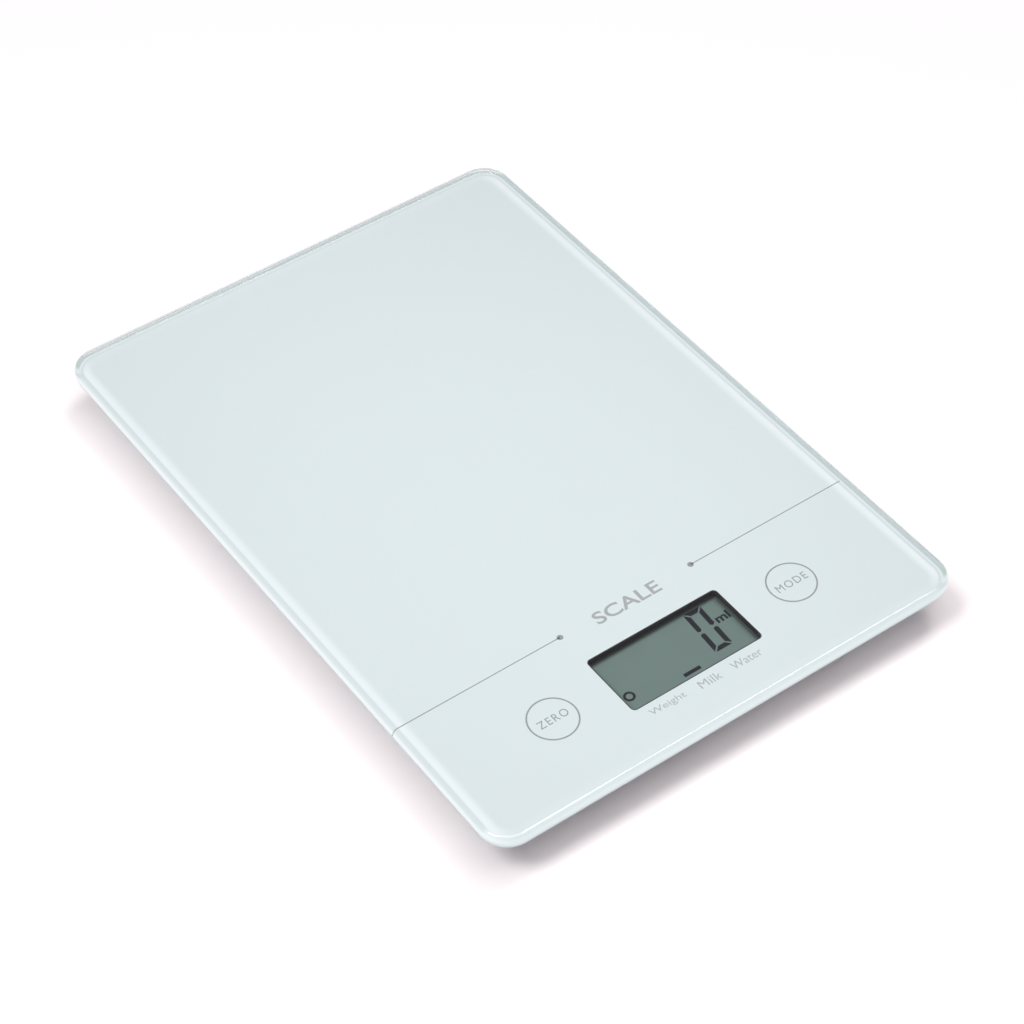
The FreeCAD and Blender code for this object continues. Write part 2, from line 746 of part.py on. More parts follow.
def battery_well(piece):
    """The cell's well in the cover: bayonet bore, lug channel, cell guide and roof."""
    place = {"x": "0", "y": "battery_y"}
    plate_top = f"({CHANNEL_TOP} + well_plate)"
    piece.pad([circle(CHANNEL_OUTER), circle(CHANNEL_BORE)], FLOOR_TOP, "channel_height", **place)
    piece.pad([circle(CHANNEL_OUTER), circle(WELL_BORE)], CHANNEL_TOP, "well_plate", **place)
    guide_height = f"({ROOF_UNDER} - {plate_top})"
    piece.pad([circle(WELL_OUTER), circle(WELL_BORE)], plate_top, guide_height, **place)
    piece.pad([circle(WELL_OUTER)], ROOF_UNDER, "well_plate", **place)
    piece.cut([circle(CAP_BORE)], COVER_UNDER, "cover_floor", **place)
    reach = "(lug_reach + lug_clearance)"
    notch_middle = f"({CAP_DIAMETER} / 2 + {reach} / 2)"
    notch = rectangle("(lug_width + 2 * lug_clearance)", reach, "0", notch_middle)
    cut = piece.cut([notch], COVER_UNDER, "cover_floor", turn="(-cap_turn)", **place)
    piece.around(cut)
    stop_reach = "(channel_width + well_wall / 2 - 2 * lug_clearance)"
    middle = f"({CHANNEL_BORE} / 2 + well_wall / 2 - {stop_reach} / 2)"
    stop = rectangle("stop_width", stop_reach, "0", middle)
    block = piece.pad([stop], FLOOR_TOP, "channel_height", turn="(-stop_angle)", **place)
    piece.around(block)
    slot_width = "(contact_width + 2 * contact_clearance)"
    slot_start = "(cell_diameter / 2 - contact_clearance)"
    slot_run = f"({WELL_OUTER} / 2 + well_wall - {slot_start})"
    side_slot = rectangle(slot_run, slot_width, f"({slot_start} + {slot_run} / 2)", "0")
    side_level = f"min({LUG_UNDER}; {ROOF_UNDER})"
    side_height = f"({LUG_TOP} + contact_strip - {side_level})"
    piece.cut([side_slot], side_level, side_height, **place)
    room = "(2 * contact_strip)"
    top_slot = rectangle("(2 * well_wall)", slot_width, f"(-{WELL_BORE} / 2 - well_wall / 2)", "0")
    piece.cut([top_slot], f"({ROOF_UNDER} - {room})", room, **place)


def lcd_parts():
    """The display: two glass plates, a reflector, its contact strip and its holder."""
    panel = Piece("lcd_panel")
    front_width = f"({LCD_BACK} - {LCD_FRONT})"
    front_middle = f"(({LCD_BACK} + {LCD_FRONT}) / 2)"
    rear_plate = rectangle(LCD_LENGTH, LCD_WIDTH, "0", DISPLAY_Y)
    panel.pad([rear_plate], LCD_UNDER, "lcd_plate")
    front_plate = rectangle(LCD_LENGTH, front_width, "0", front_middle)
    panel.pad([front_plate], f"({LCD_UNDER} + lcd_plate)", "lcd_plate")

    reflector = Piece("lcd_reflector")
    reflector.pad([rear_plate], REFLECTOR_UNDER, "reflector_thickness")

    strip = Piece("zebra_strip")
    strip_back = f"({LCD_BACK} - zebra_setback)"
    strip_length = f"({LCD_LENGTH} - 2 * holder_shelf - 2 * holder_clearance)"
    outline = rectangle(strip_length, "zebra_width", "0", f"({strip_back} - zebra_width / 2)")
    strip.pad([outline], BOARD_TOP, f"({LCD_UNDER} + lcd_plate - {BOARD_TOP})")

    holder = Piece("lcd_holder")
    shell_width = f"({HOLDER_BACK} - {HOLDER_FRONT})"
    shell_middle = f"(({HOLDER_BACK} + {HOLDER_FRONT}) / 2)"
    shell = rectangle(HOLDER_LENGTH, shell_width, "0", shell_middle)
    holder.pad([shell], BOARD_TOP, f"({LCD_TOP} + holder_lip - {BOARD_TOP})")
    ears = [circle("holder_ear", x, y) for x, y in HOLDER_SCREWS]
    holder.pad(ears, BOARD_TOP, "holder_ear_height")
    collar_length = "(window_length + 2 * collar_margin)"
    collar_width = "(window_width + 2 * collar_margin)"
    opening = rounded(collar_length, collar_width, "window_corner", "0", DISPLAY_Y)
    collar = rounded(
        f"({collar_length} + 2 * collar_wall)",
        f"({collar_width} + 2 * collar_wall)",
        "window_corner + collar_wall",
        "0",
        DISPLAY_Y,
    )
    collar_level = f"({LCD_TOP} + holder_lip)"
    collar_height = f"({GLASS_UNDER} - holder_clearance - {collar_level})"
    holder.pad([collar], collar_level, collar_height)
    room_length = f"({LCD_LENGTH} + 2 * holder_clearance)"
    room_width = f"({front_width} + 2 * holder_clearance)"
    room = rectangle(room_length, room_width, "0", front_middle)
    holder.cut([room], REFLECTOR_UNDER, f"({LCD_TOP} - {REFLECTOR_UNDER})")
    shelf = rectangle(
        f"({room_length} - 2 * holder_shelf)",
        f"({room_width} - holder_shelf)",
        "0",
        f"({front_middle} + holder_shelf / 2)",
    )
    holder.cut([shelf], BOARD_TOP, "board_gap")
    holder.cut([opening], LCD_TOP, f"({GLASS_UNDER} - holder_clearance - {LCD_TOP})")
    pilot = "(small_thread + 2 * thread_clearance)"
    pilots = [circle(pilot, x, y) for x, y in HOLDER_SCREWS]
    holder.cut(pilots, BOARD_TOP, "holder_ear_height")


def circuit_board():
    """The board with its holes, its coated chip and a row of small components."""
    board = Piece("circuit_board")
    middle = f"(({BOARD_FRONT} + {BOARD_BACK}) / 2)"
    outline = rectangle(BOARD_LENGTH, "board_width", "0", middle)
    board.pad([outline], BOARD_UNDER, "board_thickness")
    hole = "(small_thread + 2 * screw_hole_clearance)"
    holes = [circle(hole, x, y) for x, y in BOARD_SCREWS + HOLDER_SCREWS]
    board.cut(holes, BOARD_UNDER, "board_thickness")

    chip = Piece("chip_coating", "0", DISPLAY_Y)
    chip_under = f"({BOARD_UNDER} - chip_height)"
    chip.pad([circle("chip_diameter")], chip_under, "chip_height")
    chip.fillet("chip_edge", lies_at(chip_under))

    components = Piece("board_components")
    row_y = f"({BOARD_BACK} - component_from_back)"
    row = []
    for step in range(COMPONENT_COUNT):
        x = f"({step - COMPONENT_COUNT // 2} * component_pitch + component_row_x)"
        row.append(rectangle("component_length", "component_width", x, row_y))
    components.pad(row, BOARD_TOP, "component_height")


def key_spring(name, side):
    """A coil spring that carries a key's touch from the glass down to the board."""
    piece = Piece(name, signed(side, "key_spacing / 2"), DISPLAY_Y)
    before = piece.volume()
    section = circle(
        "key_spring_wire",
        "(key_spring_coil / 2 - key_spring_wire / 2)",
        f"({BOARD_TOP} + key_spring_wire / 2)",
    )
    drawing = piece.sketch([section], role="XZ_Plane")
    coil = piece.feature("AdditiveHelix", drawing)
    coil.ReferenceAxis = (drawing, ["V_Axis"])
    coil.Mode = "pitch-height-angle"
    height = f"({GLASS_UNDER} - {BOARD_TOP} - key_spring_wire)"
    coil.setExpression("Height", cell_names(height))
    coil.setExpression("Pitch", cell_names(f"{height} / key_spring_turns"))
    piece.settle(before, coil, True)


def unit_key():
    """The unit button in the cover, the stem that it lifts, and the switch above them."""
    place = ("button_x", BUTTON_Y)
    switch = Piece("unit_switch", *place)
    switch_under = f"({BOARD_UNDER} - switch_height)"
    switch.pad([rectangle("switch_side", "switch_side")], switch_under, "switch_height")
    bore = circle("(stem_diameter + 2 * stem_clearance)")
    switch.cut([bore], switch_under, "(switch_height - stem_travel_room)")

    stem = Piece("switch_stem", *place)
    ceiling = f"({BOARD_UNDER} - 2 * stem_travel_room)"
    stem.pad([circle("stem_diameter")], FLANGE_TOP, f"({ceiling} - button_travel - {FLANGE_TOP})")

    button = Piece("unit_button", *place)
    shank_height = f"({FLANGE_UNDER} - {BUTTON_UNDER})"
    button.pad([circle("button_diameter")], BUTTON_UNDER, shank_height)
    button.pad([circle("button_flange")], FLANGE_UNDER, "button_flange_height")
    button.fillet("button_edge", lies_at(BUTTON_UNDER))


def battery_parts():
    """The coin cell, its two contacts and the bayonet cap under it."""
    place = ("0", "battery_y")
    cell = Piece("coin_cell", *place)
    cell.pad([circle("cell_diameter")], CAP_TOP, "(cell_height - cell_rim)")
    cell.pad([circle("(cell_diameter - 4 * cell_rim)")], f"({CELL_TOP} - cell_rim)", "cell_rim")
    cell.fillet("cell_rim / 2", lies_at(CAP_TOP))

    positive = Piece("battery_contact_positive", *place)
    touch = "(cell_diameter / 2)"
    upright = rectangle("contact_strip", "contact_width", f"({touch} + contact_strip / 2)", "0")
    positive.pad([upright], TONGUE_UNDER, f"({LUG_TOP} - {TONGUE_UNDER})")
    lug_run = "(well_wall + cell_clearance + contact_reach)"
    lug = rectangle(lug_run, "contact_width", f"({touch} + {lug_run} / 2)", "0")
    positive.pad([lug], LUG_UNDER, "contact_strip")

    negative = Piece("battery_contact_negative", *place)
    drop_x = f"({WELL_OUTER} / 2 + contact_strip)"
    leaf_run = f"({drop_x} + contact_dimple)"
    leaf = rectangle(leaf_run, "contact_width", f"(contact_dimple - {leaf_run} / 2)", "0")
    negative.pad([leaf], LEAF_UNDER, "contact_strip")
    negative.pad([circle("contact_dimple")], CELL_TOP, f"({LEAF_UNDER} - {CELL_TOP})")
    negative.fillet("contact_strip", lies_at(CELL_TOP))
    drop = rectangle("contact_strip", "contact_width", f"(contact_strip / 2 - {drop_x})", "0")
    drop_under = f"min({LEAF_UNDER}; {LUG_UNDER})"
    negative.pad([drop], drop_under, f"(abs({LEAF_UNDER} - {LUG_UNDER}) + contact_strip)")
    tail_end = f"({touch} + {lug_run})"
    tail_run = f"({tail_end} - {drop_x} + contact_strip)"
    tail = rectangle(tail_run, "contact_width", f"({tail_run} / 2 - {tail_end})", "0")
    negative.pad([tail], LUG_UNDER, "contact_strip")

    cap = Piece("battery_cap", *place)
    cap.pad([circle(CAP_DIAMETER)], CAP_UNDER, "cap_thickness")
    cap.fillet("cap_edge", lies_at(CAP_UNDER))
    reach = "(lug_reach + cell_clearance)"
    lug = rectangle("lug_width", reach, "0", f"({CAP_DIAMETER} / 2 + lug_reach - {reach} / 2)")
    block = cap.pad([lug], f"({CAP_TOP} - lug_thickness)", "lug_thickness")
    cap.around(block)
    slot = rectangle("coin_slot_length", "coin_slot_width")
    cap.cut([slot], CAP_UNDER, "coin_slot_depth")


def foot(corner, i, j):
    """One corner's foot and load sensor: pad, post, slotted plate and coated gauge."""
    place = (signed(i, FOOT_X), signed(j, FOOT_Y))
    pad = Piece(f"foot_pad_{corner}", *place)
    radius = "(pad_diameter / 2)"
    pad.turned(
        ("0", "0"),
        ("pad_groove_inner / 2", "0"),
        ("pad_groove_inner / 2", "pad_groove_depth"),
        ("pad_groove_outer / 2", "pad_groove_depth"),
        ("pad_groove_outer / 2", "0"),
        (f"{radius} - pad_edge", "0"),
        (radius, "pad_edge"),
        (radius, "pad_height"),
        ("post_shank / 2", "pad_height"),
        ("post_shank / 2", "pad_web"),
        ("0", "pad_web"),
    )

    post = Piece(f"foot_post_{corner}", *place)
    head_under = f"({SENSOR_UNDER} - post_head_height)"
    post.pad([circle("post_shank")], "pad_web", f"({head_under} - pad_web)")
    post.pad([circle("post_head")], head_under, "post_head_height")

    sensor = Piece(f"load_sensor_{corner}", *place)
    plate = rounded("sensor_width", "sensor_length", "sensor_corner")
    sensor.pad([plate], SENSOR_UNDER, "sensor_thickness")
    root = "(sensor_length / 2 - sensor_bar)"
    tip = f"({root} - sensor_tongue_reach)"
    inner, outer = "(sensor_tongue / 2)", "(sensor_tongue / 2 + sensor_slot)"
    slot = polygon(
        (f"(-{outer})", root),
        (f"(-{outer})", tip),
        (outer, tip),
        (outer, root),
        (inner, root),
        (inner, f"({tip} + sensor_slot)"),
        (f"(-{inner})", f"({tip} + sensor_slot)"),
        (f"(-{inner})", root),
    )
    sensor.cut([slot], SENSOR_UNDER, "sensor_thickness")
    hole = "(small_thread + 2 * screw_hole_clearance)"
    holes = [circle(hole, "0", signed(k, SENSOR_SCREW_Y)) for k in SIDES]
    sensor.cut(holes, SENSOR_UNDER, "sensor_thickness")

    gauge = Piece(f"gauge_coating_{corner}", *place)
    outline = rounded("gauge_width", "gauge_length", "gauge_width / 4", "0", "gauge_offset")
    gauge.pad([outline], SENSOR_TOP, f"({BOARD_TOP} - {SENSOR_TOP})")


def wire(piece, points, bend="wire_bend"):
    """One round wire carried along a flat route at the board's own level."""
    before = piece.volume()
    across = value(points[1][0]) - value(points[0][0])
    away = value(points[1][1]) - value(points[0][1])
    runs_along_x = abs(across) > abs(away)
    # The section's plane faces +X or -Y, and the route sets off the same way.
    if (across < 0) if runs_along_x else (away > 0):
        points = points[::-1]
    x, y = points[0]
    role, aside, shift = ("YZ_Plane", y, x) if runs_along_x else ("XZ_Plane", x, f"(-{y})")
    path = piece.sketch([route(points, bend)], WIRE_LEVEL)
    section = piece.sketch([circle("wire_diameter", aside, WIRE_LEVEL)], shift, role=role)
    pipe = piece.feature("AdditivePipe", section)
    pipe.Spine = (path, [f"Edge{index + 1}" for index in range(path.GeometryCount)])
    piece.settle(before, pipe, True)


def wiring():
    """The sensors' leads, three to a corner, and the battery's two leads."""
    for corner, (i, j) in CORNERS.items():
        piece = Piece(f"sensor_wires_{corner}")
        for lane in (-1, 0, 1):
            start_x = signed(i, f"{FOOT_X} - gauge_width / 4")
            start_y = f"({signed(j, FOOT_Y)} + gauge_offset + {lane} * wire_pitch)"
            landing_x = signed(i, f"{BOARD_LENGTH} / 2 - wire_landing")
            if j < 0:
                wire(piece, [(start_x, start_y), (landing_x, start_y)])
                continue
            lane_x = signed(i, f"{BOARD_LENGTH} / 2 + rear_wire_gap - {lane} * wire_pitch")
            lane_y = f"({BOARD_BACK} - rear_wire_landing + {lane} * wire_pitch)"
            points = [
                (start_x, start_y), (lane_x, start_y), (lane_x, lane_y), (landing_x, lane_y)
            ]
            wire(piece, points)
    piece = Piece("battery_wires")
    lug_x = f"({WELL_OUTER} / 2 + contact_reach - contact_width / 2)"
    for i in SIDES:
        near, far = signed(i, f"{lug_x} + battery_wire_step"), signed(i, lug_x)
        landing_y = f"({BOARD_BACK} - wire_landing)"
        points = [
            (far, "battery_y"), (far, "battery_wire_y"), (near, "battery_wire_y"), (near, landing_y)
        ]
        wire(piece, points)


def fasteners():
    """Every screw of the scale, each kind in one group."""
    small = ("small_head", "small_head_height", "small_thread", "small_screw_length")
    case_head_under = f"({FLOOR_TOP} + case_well_height - case_seat - case_head_height)"
    case = ("case_head", "case_head_height", "case_thread", "case_screw_length")
    screws("housing_screws", CASE_SCREWS, *case, case_head_under)
    screws("board_screws", BOARD_SCREWS, *small, f"({BOARD_UNDER} - small_head_height)")
    screws("holder_screws", HOLDER_SCREWS, *small, f"({BOARD_UNDER} - small_head_height)")
    screws("sensor_screws", SENSOR_SCREWS, *small, f"({SENSOR_UNDER} - small_head_height)")


def failures():
    """Everything in the document that didn't work out, by name."""
    bad = [
        item.Name
        for item in document.Objects
        if any(state in ("Invalid", "Error") for state in item.State)
    ]
    for piece in Piece.made:
        shape = piece.body.Shape
        if shape.isNull() or not shape.isValid() or not shape.Solids:
            bad.append(piece.name)
    return bad


def main():
    """Builds every piece, checks them all and writes one STEP file for each."""
    glass_platform()
    bonding_tape()
    top_frame()
    base_cover()
    lcd_parts()
    circuit_board()
    key_spring("touch_spring_zero", -1)
    key_spring("touch_spring_mode", 1)
    unit_key()
    battery_parts()
    for corner, (i, j) in CORNERS.items():
        foot(corner, i, j)
    wiring()
    fasteners()
    document.recompute()
    bad = failures()
    if bad:
        raise RuntimeError("not built: " + ", ".join(bad))
    os.makedirs("parts", exist_ok=True)
    for piece in Piece.made:
        piece.body.Shape.exportStep(f"parts/{piece.name}.step")
    print(f"wrote {len(Piece.made)} pieces")


main()
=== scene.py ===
"""Looks of a slim glass kitchen scale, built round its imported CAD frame.

Every length is in metres, in the frame of the CAD model: +X to the user's
right, +Y away from the user, +Z up, with the feet standing at Z = 0. The glass
platform, the housing and all that they hold keep their CAD meshes and get a
finish here. The enamel and the print behind the glass, the display's segments,
the label and the marks on the underside are thin solids made in this script.
"""

import logging
import math
from dataclasses import dataclass
from enum import Enum
from typing import Any

import bpy
import numpy as np
from mathutils import Matrix, Vector


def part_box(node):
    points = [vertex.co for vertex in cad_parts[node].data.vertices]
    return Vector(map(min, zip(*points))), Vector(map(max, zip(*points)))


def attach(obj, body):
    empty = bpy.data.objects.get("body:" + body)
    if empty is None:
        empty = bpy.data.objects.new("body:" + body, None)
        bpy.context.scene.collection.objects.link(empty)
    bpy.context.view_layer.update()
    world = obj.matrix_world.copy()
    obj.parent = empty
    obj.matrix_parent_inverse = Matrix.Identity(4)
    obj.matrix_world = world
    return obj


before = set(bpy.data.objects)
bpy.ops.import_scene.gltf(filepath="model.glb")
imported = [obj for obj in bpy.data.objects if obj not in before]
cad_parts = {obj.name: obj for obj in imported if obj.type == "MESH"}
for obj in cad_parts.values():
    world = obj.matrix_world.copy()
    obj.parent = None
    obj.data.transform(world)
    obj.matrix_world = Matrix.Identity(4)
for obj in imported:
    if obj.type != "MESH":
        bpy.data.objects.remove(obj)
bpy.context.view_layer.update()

log = logging.getLogger("kitchen_scale")

MM = 0.001
HOUSING = "housing"
CORNERS = ("front_left", "front_right", "back_left", "back_right")
ARC_STEPS = 10
ROUND_STEPS = 96
WINDOW = (45.4 * MM, 22.1 * MM)

Colour = tuple[float, float, float]
Triple = tuple[float, float, float]
Size = tuple[float, float]
Spot = tuple[float, float]
# Left, front, right and back of a room on the plan.
Box = tuple[float, float, float, float]
# Where a band starts, is full, starts to fade and ends, in millimetres from a rim.
Band = tuple[float, float, float, float]


class Finish(Enum):
    """Kinds of surface that the scale's pieces are made of."""

    SPARKED = "fine spark-eroded texture"
    SATIN = "satin moulding"
    POLISHED = "polished moulding"


# ---------------------------------------------------------------- shader maths


class Number:
    """A number socket of a node tree. Plain arithmetic on it adds Math nodes."""

    def __init__(self, shader: "Shader", socket: Any) -> None:
        """Wraps one output socket of a shader's tree."""
        self.shader = shader
        self.socket = socket

    def math(self, operation: str, *others: Any) -> "Number":
        """Adds one Math node.

        Args:
            operation: the node's operation, such as MULTIPLY.
            others: the numbers or sockets that follow this one.

        Returns:
            The node's result.
        """
        sockets = dict(enumerate((self, *others)))
        made = self.shader.node("ShaderNodeMath", {"operation": operation}, sockets)
        return Number(self.shader, made.outputs[0])

    def __add__(self, other: Any) -> "Number":
        """This plus other."""
        return self.math("ADD", other)

    __radd__ = __add__

    def __mul__(self, other: Any) -> "Number":
        """This times other."""
        return self.math("MULTIPLY", other)

    __rmul__ = __mul__

    def __sub__(self, other: Any) -> "Number":
        """This minus other."""
        return self.math("SUBTRACT", other)

    def __rsub__(self, other: Any) -> "Number":
        """Other minus this."""
        return (self * -1.0) + other

    def __truediv__(self, other: Any) -> "Number":
        """This over other."""
        return self.math("DIVIDE", other)

    def __abs__(self) -> "Number":
        """This without its sign."""
        return self.math("ABSOLUTE")

    def __pow__(self, power: float) -> "Number":
        """This to a power."""
        return self.math("POWER", power)

    def at_least(self, low: Any) -> "Number":
        """The larger of this and low."""
        return self.math("MAXIMUM", low)

    def at_most(self, high: Any) -> "Number":
        """The smaller of this and high."""
        return self.math("MINIMUM", high)

    def ramp(self, low: float, high: float) -> "Number":
        """A smooth step: 0 up to low, 1 from high, and an S-shaped curve between.

        Args:
            low: the number at which the step starts to rise.
            high: the number from which it is 1.

        Returns:
            The step's height.
        """
        sockets = {"Value": self, "From Min": low, "From Max": high}
        made = self.shader.node("ShaderNodeMapRange", {"interpolation_type": "SMOOTHSTEP"}, sockets)
        return Number(self.shader, made.outputs[0])


class Shader:
    """One material's node tree, with the few calls that the finishes are written in."""

    def __init__(self, name: str) -> None:
        """Makes an empty node material of that name."""
        self.material = bpy.data.materials.new(name)
        self.material.use_nodes = True
        self.tree = self.material.node_tree
        self.tree.nodes.clear()
        self.coordinates = self.node("ShaderNodeTexCoord")

    def node(self, kind: str, settings: dict | None = None, sockets: dict | None = None) -> Any:
        """Adds a node.

        Args:
            kind: the node's type.
            settings: what is set before its sockets are touched.
            sockets: socket name or index to a number, a colour, a Number or a link.

        Returns:
            The node.
        """
        made = self.tree.nodes.new(kind)
        for name, setting in (settings or {}).items():
            setattr(made, name, setting)
        for name, what in (sockets or {}).items():
            socket = made.inputs[name]
            if isinstance(what, Number):
                self.tree.links.new(what.socket, socket)
            elif isinstance(what, bpy.types.NodeSocket):
                self.tree.links.new(what, socket)
            elif isinstance(what, tuple) and socket.type == "RGBA":
                socket.default_value = (*what[:3], 1.0)
            else:
                socket.default_value = what
        return made

    def place(self) -> tuple[Number, Number, Number]:
        """The point being shaded, in the scale's own frame, as three numbers."""
        split = self.node("ShaderNodeSeparateXYZ", {}, {0: self.coordinates.outputs["Object"]})
        return tuple(Number(self, socket) for socket in split.outputs)

    def noise(self, grain: float, detail: float, stretch: Triple = (1.0, 1.0, 1.0)) -> Number:
        """Smooth noise whose lumps are about grain metres across.

        Args:
            grain: size of the largest lumps.
            detail: how many finer layers are added.
            stretch: factors on the coordinates; a small one draws the lumps out.

        Returns:
            The noise, from 0 to 1.
        """
        sockets = {"Vector": self.coordinates.outputs["Object"], "Scale": stretch}
        mapped = self.node("ShaderNodeMapping", {"vector_type": "POINT"}, sockets)
        sockets = {"Vector": mapped.outputs[0], "Scale": 1.0 / grain, "Detail": detail}
        return Number(self, self.node("ShaderNodeTexNoise", {}, sockets).outputs["Fac"])

    def blend(self, first: Any, second: Any, share: Any) -> Any:
        """A colour that goes from first to second as share goes from 0 to 1.

        Args:
            first: the colour, or the link to it, at a share of 0.
            second: the colour, or the link to it, at a share of 1.
            share: how much of the second is in the mixture.

        Returns:
            The link to the mixture.
        """
        settings = {"data_type": "RGBA", "blend_type": "MIX", "clamp_factor": True}
        made = self.node("ShaderNodeMix", settings, {0: share, 6: first, 7: second})
        return made.outputs[2]

    def bump(self, height: Number, depth: float) -> Any:
        """A normal bent as if the surface stood out by height times depth metres."""
        made = self.node("ShaderNodeBump", {}, {"Strength": 1.0, "Distance": depth, "Height": height})
        return made.outputs[0]

    def principled(self, sockets: dict) -> Any:
        """The usual surface shader with those sockets set."""
        return self.node("ShaderNodeBsdfPrincipled", {}, sockets).outputs[0]

    def done(self, surface: Any) -> bpy.types.Material:
        """Ends the tree with a surface and returns the material."""
        self.node("ShaderNodeOutputMaterial", {}, {"Surface": surface})
        return self.material


def shade(colour: Colour, factor: float) -> Colour:
    """A colour made lighter or darker by a factor."""
    return tuple(min(1.0, part * factor) for part in colour)


# -------------------------------------------------------------------- finishes


@dataclass(frozen=True)
class Moulded:
    """Moulded plastic: its texture, slight colour drift and handling marks."""

    name: str
    colour: Colour
    roughness: float
    finish: Finish = Finish.SATIN
    drift_size: float = 28 * MM
    speckle_size: float = 0.35 * MM
    scuff_size: float = 3.0 * MM
    scuff_stretch: Triple = (1.0, 0.15, 1.0)

    def material(self) -> bpy.types.Material:
        """Colour drifts over centimetres; grain and roughness vary with the texture.

        Returns:
            The material.
        """
        shader = Shader(self.name)
        drift = shader.noise(self.drift_size, 2.0)
        speckle = shader.noise(self.speckle_size, 2.0)
        scuffs = shader.noise(self.scuff_size, 4.0, self.scuff_stretch).ramp(0.58, 0.75)
        grain, depth = {
            Finish.SPARKED: (0.28 * MM, 0.035 * MM),
            Finish.SATIN: (0.5 * MM, 0.012 * MM),
            Finish.POLISHED: (4.0 * MM, 0.006 * MM),
        }[self.finish]
        share = drift * 0.7 + speckle * 0.3
        return shader.done(shader.principled({
            "Base Color": shader.blend(shade(self.colour, 0.94), shade(self.colour, 1.05), share),
            "Roughness": (speckle * 0.10 + scuffs * 0.12 + (self.roughness - 0.08)).at_most(1.0),
            "Normal": shader.bump(shader.noise(grain, 2.0), depth),
        }))


@dataclass(frozen=True)
class Metal:
    """Plated or rolled metal, with fine lines along one axis and dull patches."""

    name: str
    colour: Colour
    roughness: float
    along: Triple = (1.0, 0.05, 1.0)
    line_width: float = 0.25 * MM
    line_depth: float = 0.006 * MM
    patch_size: float = 5.0 * MM

    def material(self) -> bpy.types.Material:
        """Lines are noise drawn out along an axis; patches dull the roughness.

        Returns:
            The material.
        """
        shader = Shader(self.name)
        lines = shader.noise(self.line_width, 3.0, self.along)
        patches = shader.noise(self.patch_size, 3.0)
        return shader.done(shader.principled({
            "Base Color": shader.blend(shade(self.colour, 0.82), self.colour, patches.ramp(0.3, 0.6)),
            "Metallic": 1.0,
            "Roughness": lines * 0.12 + patches * 0.14 + (self.roughness - 0.1),
            "Normal": shader.bump(lines, self.line_depth),
        }))


@dataclass(frozen=True)
class Rubber:
    """Soft rubber or foam with a dusty bloom."""

    name: str
    colour: Colour
    bloom: float
    bloom_size: float = 6.0 * MM
    grain_size: float = 0.4 * MM
    grain_depth: float = 0.03 * MM

    def material(self) -> bpy.types.Material:
        """Bloom lightens the colour in patches; the grain is a fine bump.

        Returns:
            The material.
        """
        shader = Shader(self.name)
        grain = shader.noise(self.grain_size, 3.0)
        bloom = shader.noise(self.bloom_size, 3.0).ramp(0.4, 0.75) * self.bloom
        dusty = shade(self.colour, 1.5)
        return shader.done(shader.principled({
            "Base Color": shader.blend(self.colour, dusty, bloom),
            "Roughness": (grain * 0.15 + bloom * 0.1 + 0.62).at_most(1.0),
            "Normal": shader.bump(grain, self.grain_depth),
        }))


@dataclass(frozen=True)
class TemperedGlass:
    """Clear tempered glass, faintly green, with a soft roller wave in its surface."""

    name: str
    tint: Colour
    refraction: float = 1.5
    smear_size: float = 14 * MM
    wave_size: float = 60 * MM
    wave_depth: float = 0.004 * MM

    def material(self) -> bpy.types.Material:
        """Glass to the eye; lamps and light off other surfaces pass it straight.

        Returns:
            The material.
        """
        shader = Shader(self.name)
        smears = shader.noise(self.smear_size, 4.0).ramp(0.45, 0.8)
        wave = shader.noise(self.wave_size, 1.0)
        glass = shader.principled({
            "Base Color": self.tint,
            "Roughness": smears * 0.02 + 0.015,
            "IOR": self.refraction,
            "Transmission Weight": 1.0,
            "Normal": shader.bump(wave, self.wave_depth),
        })
        clear = shader.node("ShaderNodeBsdfTransparent", {}, {"Color": self.tint})
        path = shader.node("ShaderNodeLightPath")
        passes = Number(shader, path.outputs["Is Shadow Ray"]).at_least(
            Number(shader, path.outputs["Is Diffuse Ray"])
        )
        mixed = shader.node("ShaderNodeMixShader", {}, {0: passes, 1: glass, 2: clear.outputs[0]})
        return shader.done(mixed.outputs[0])


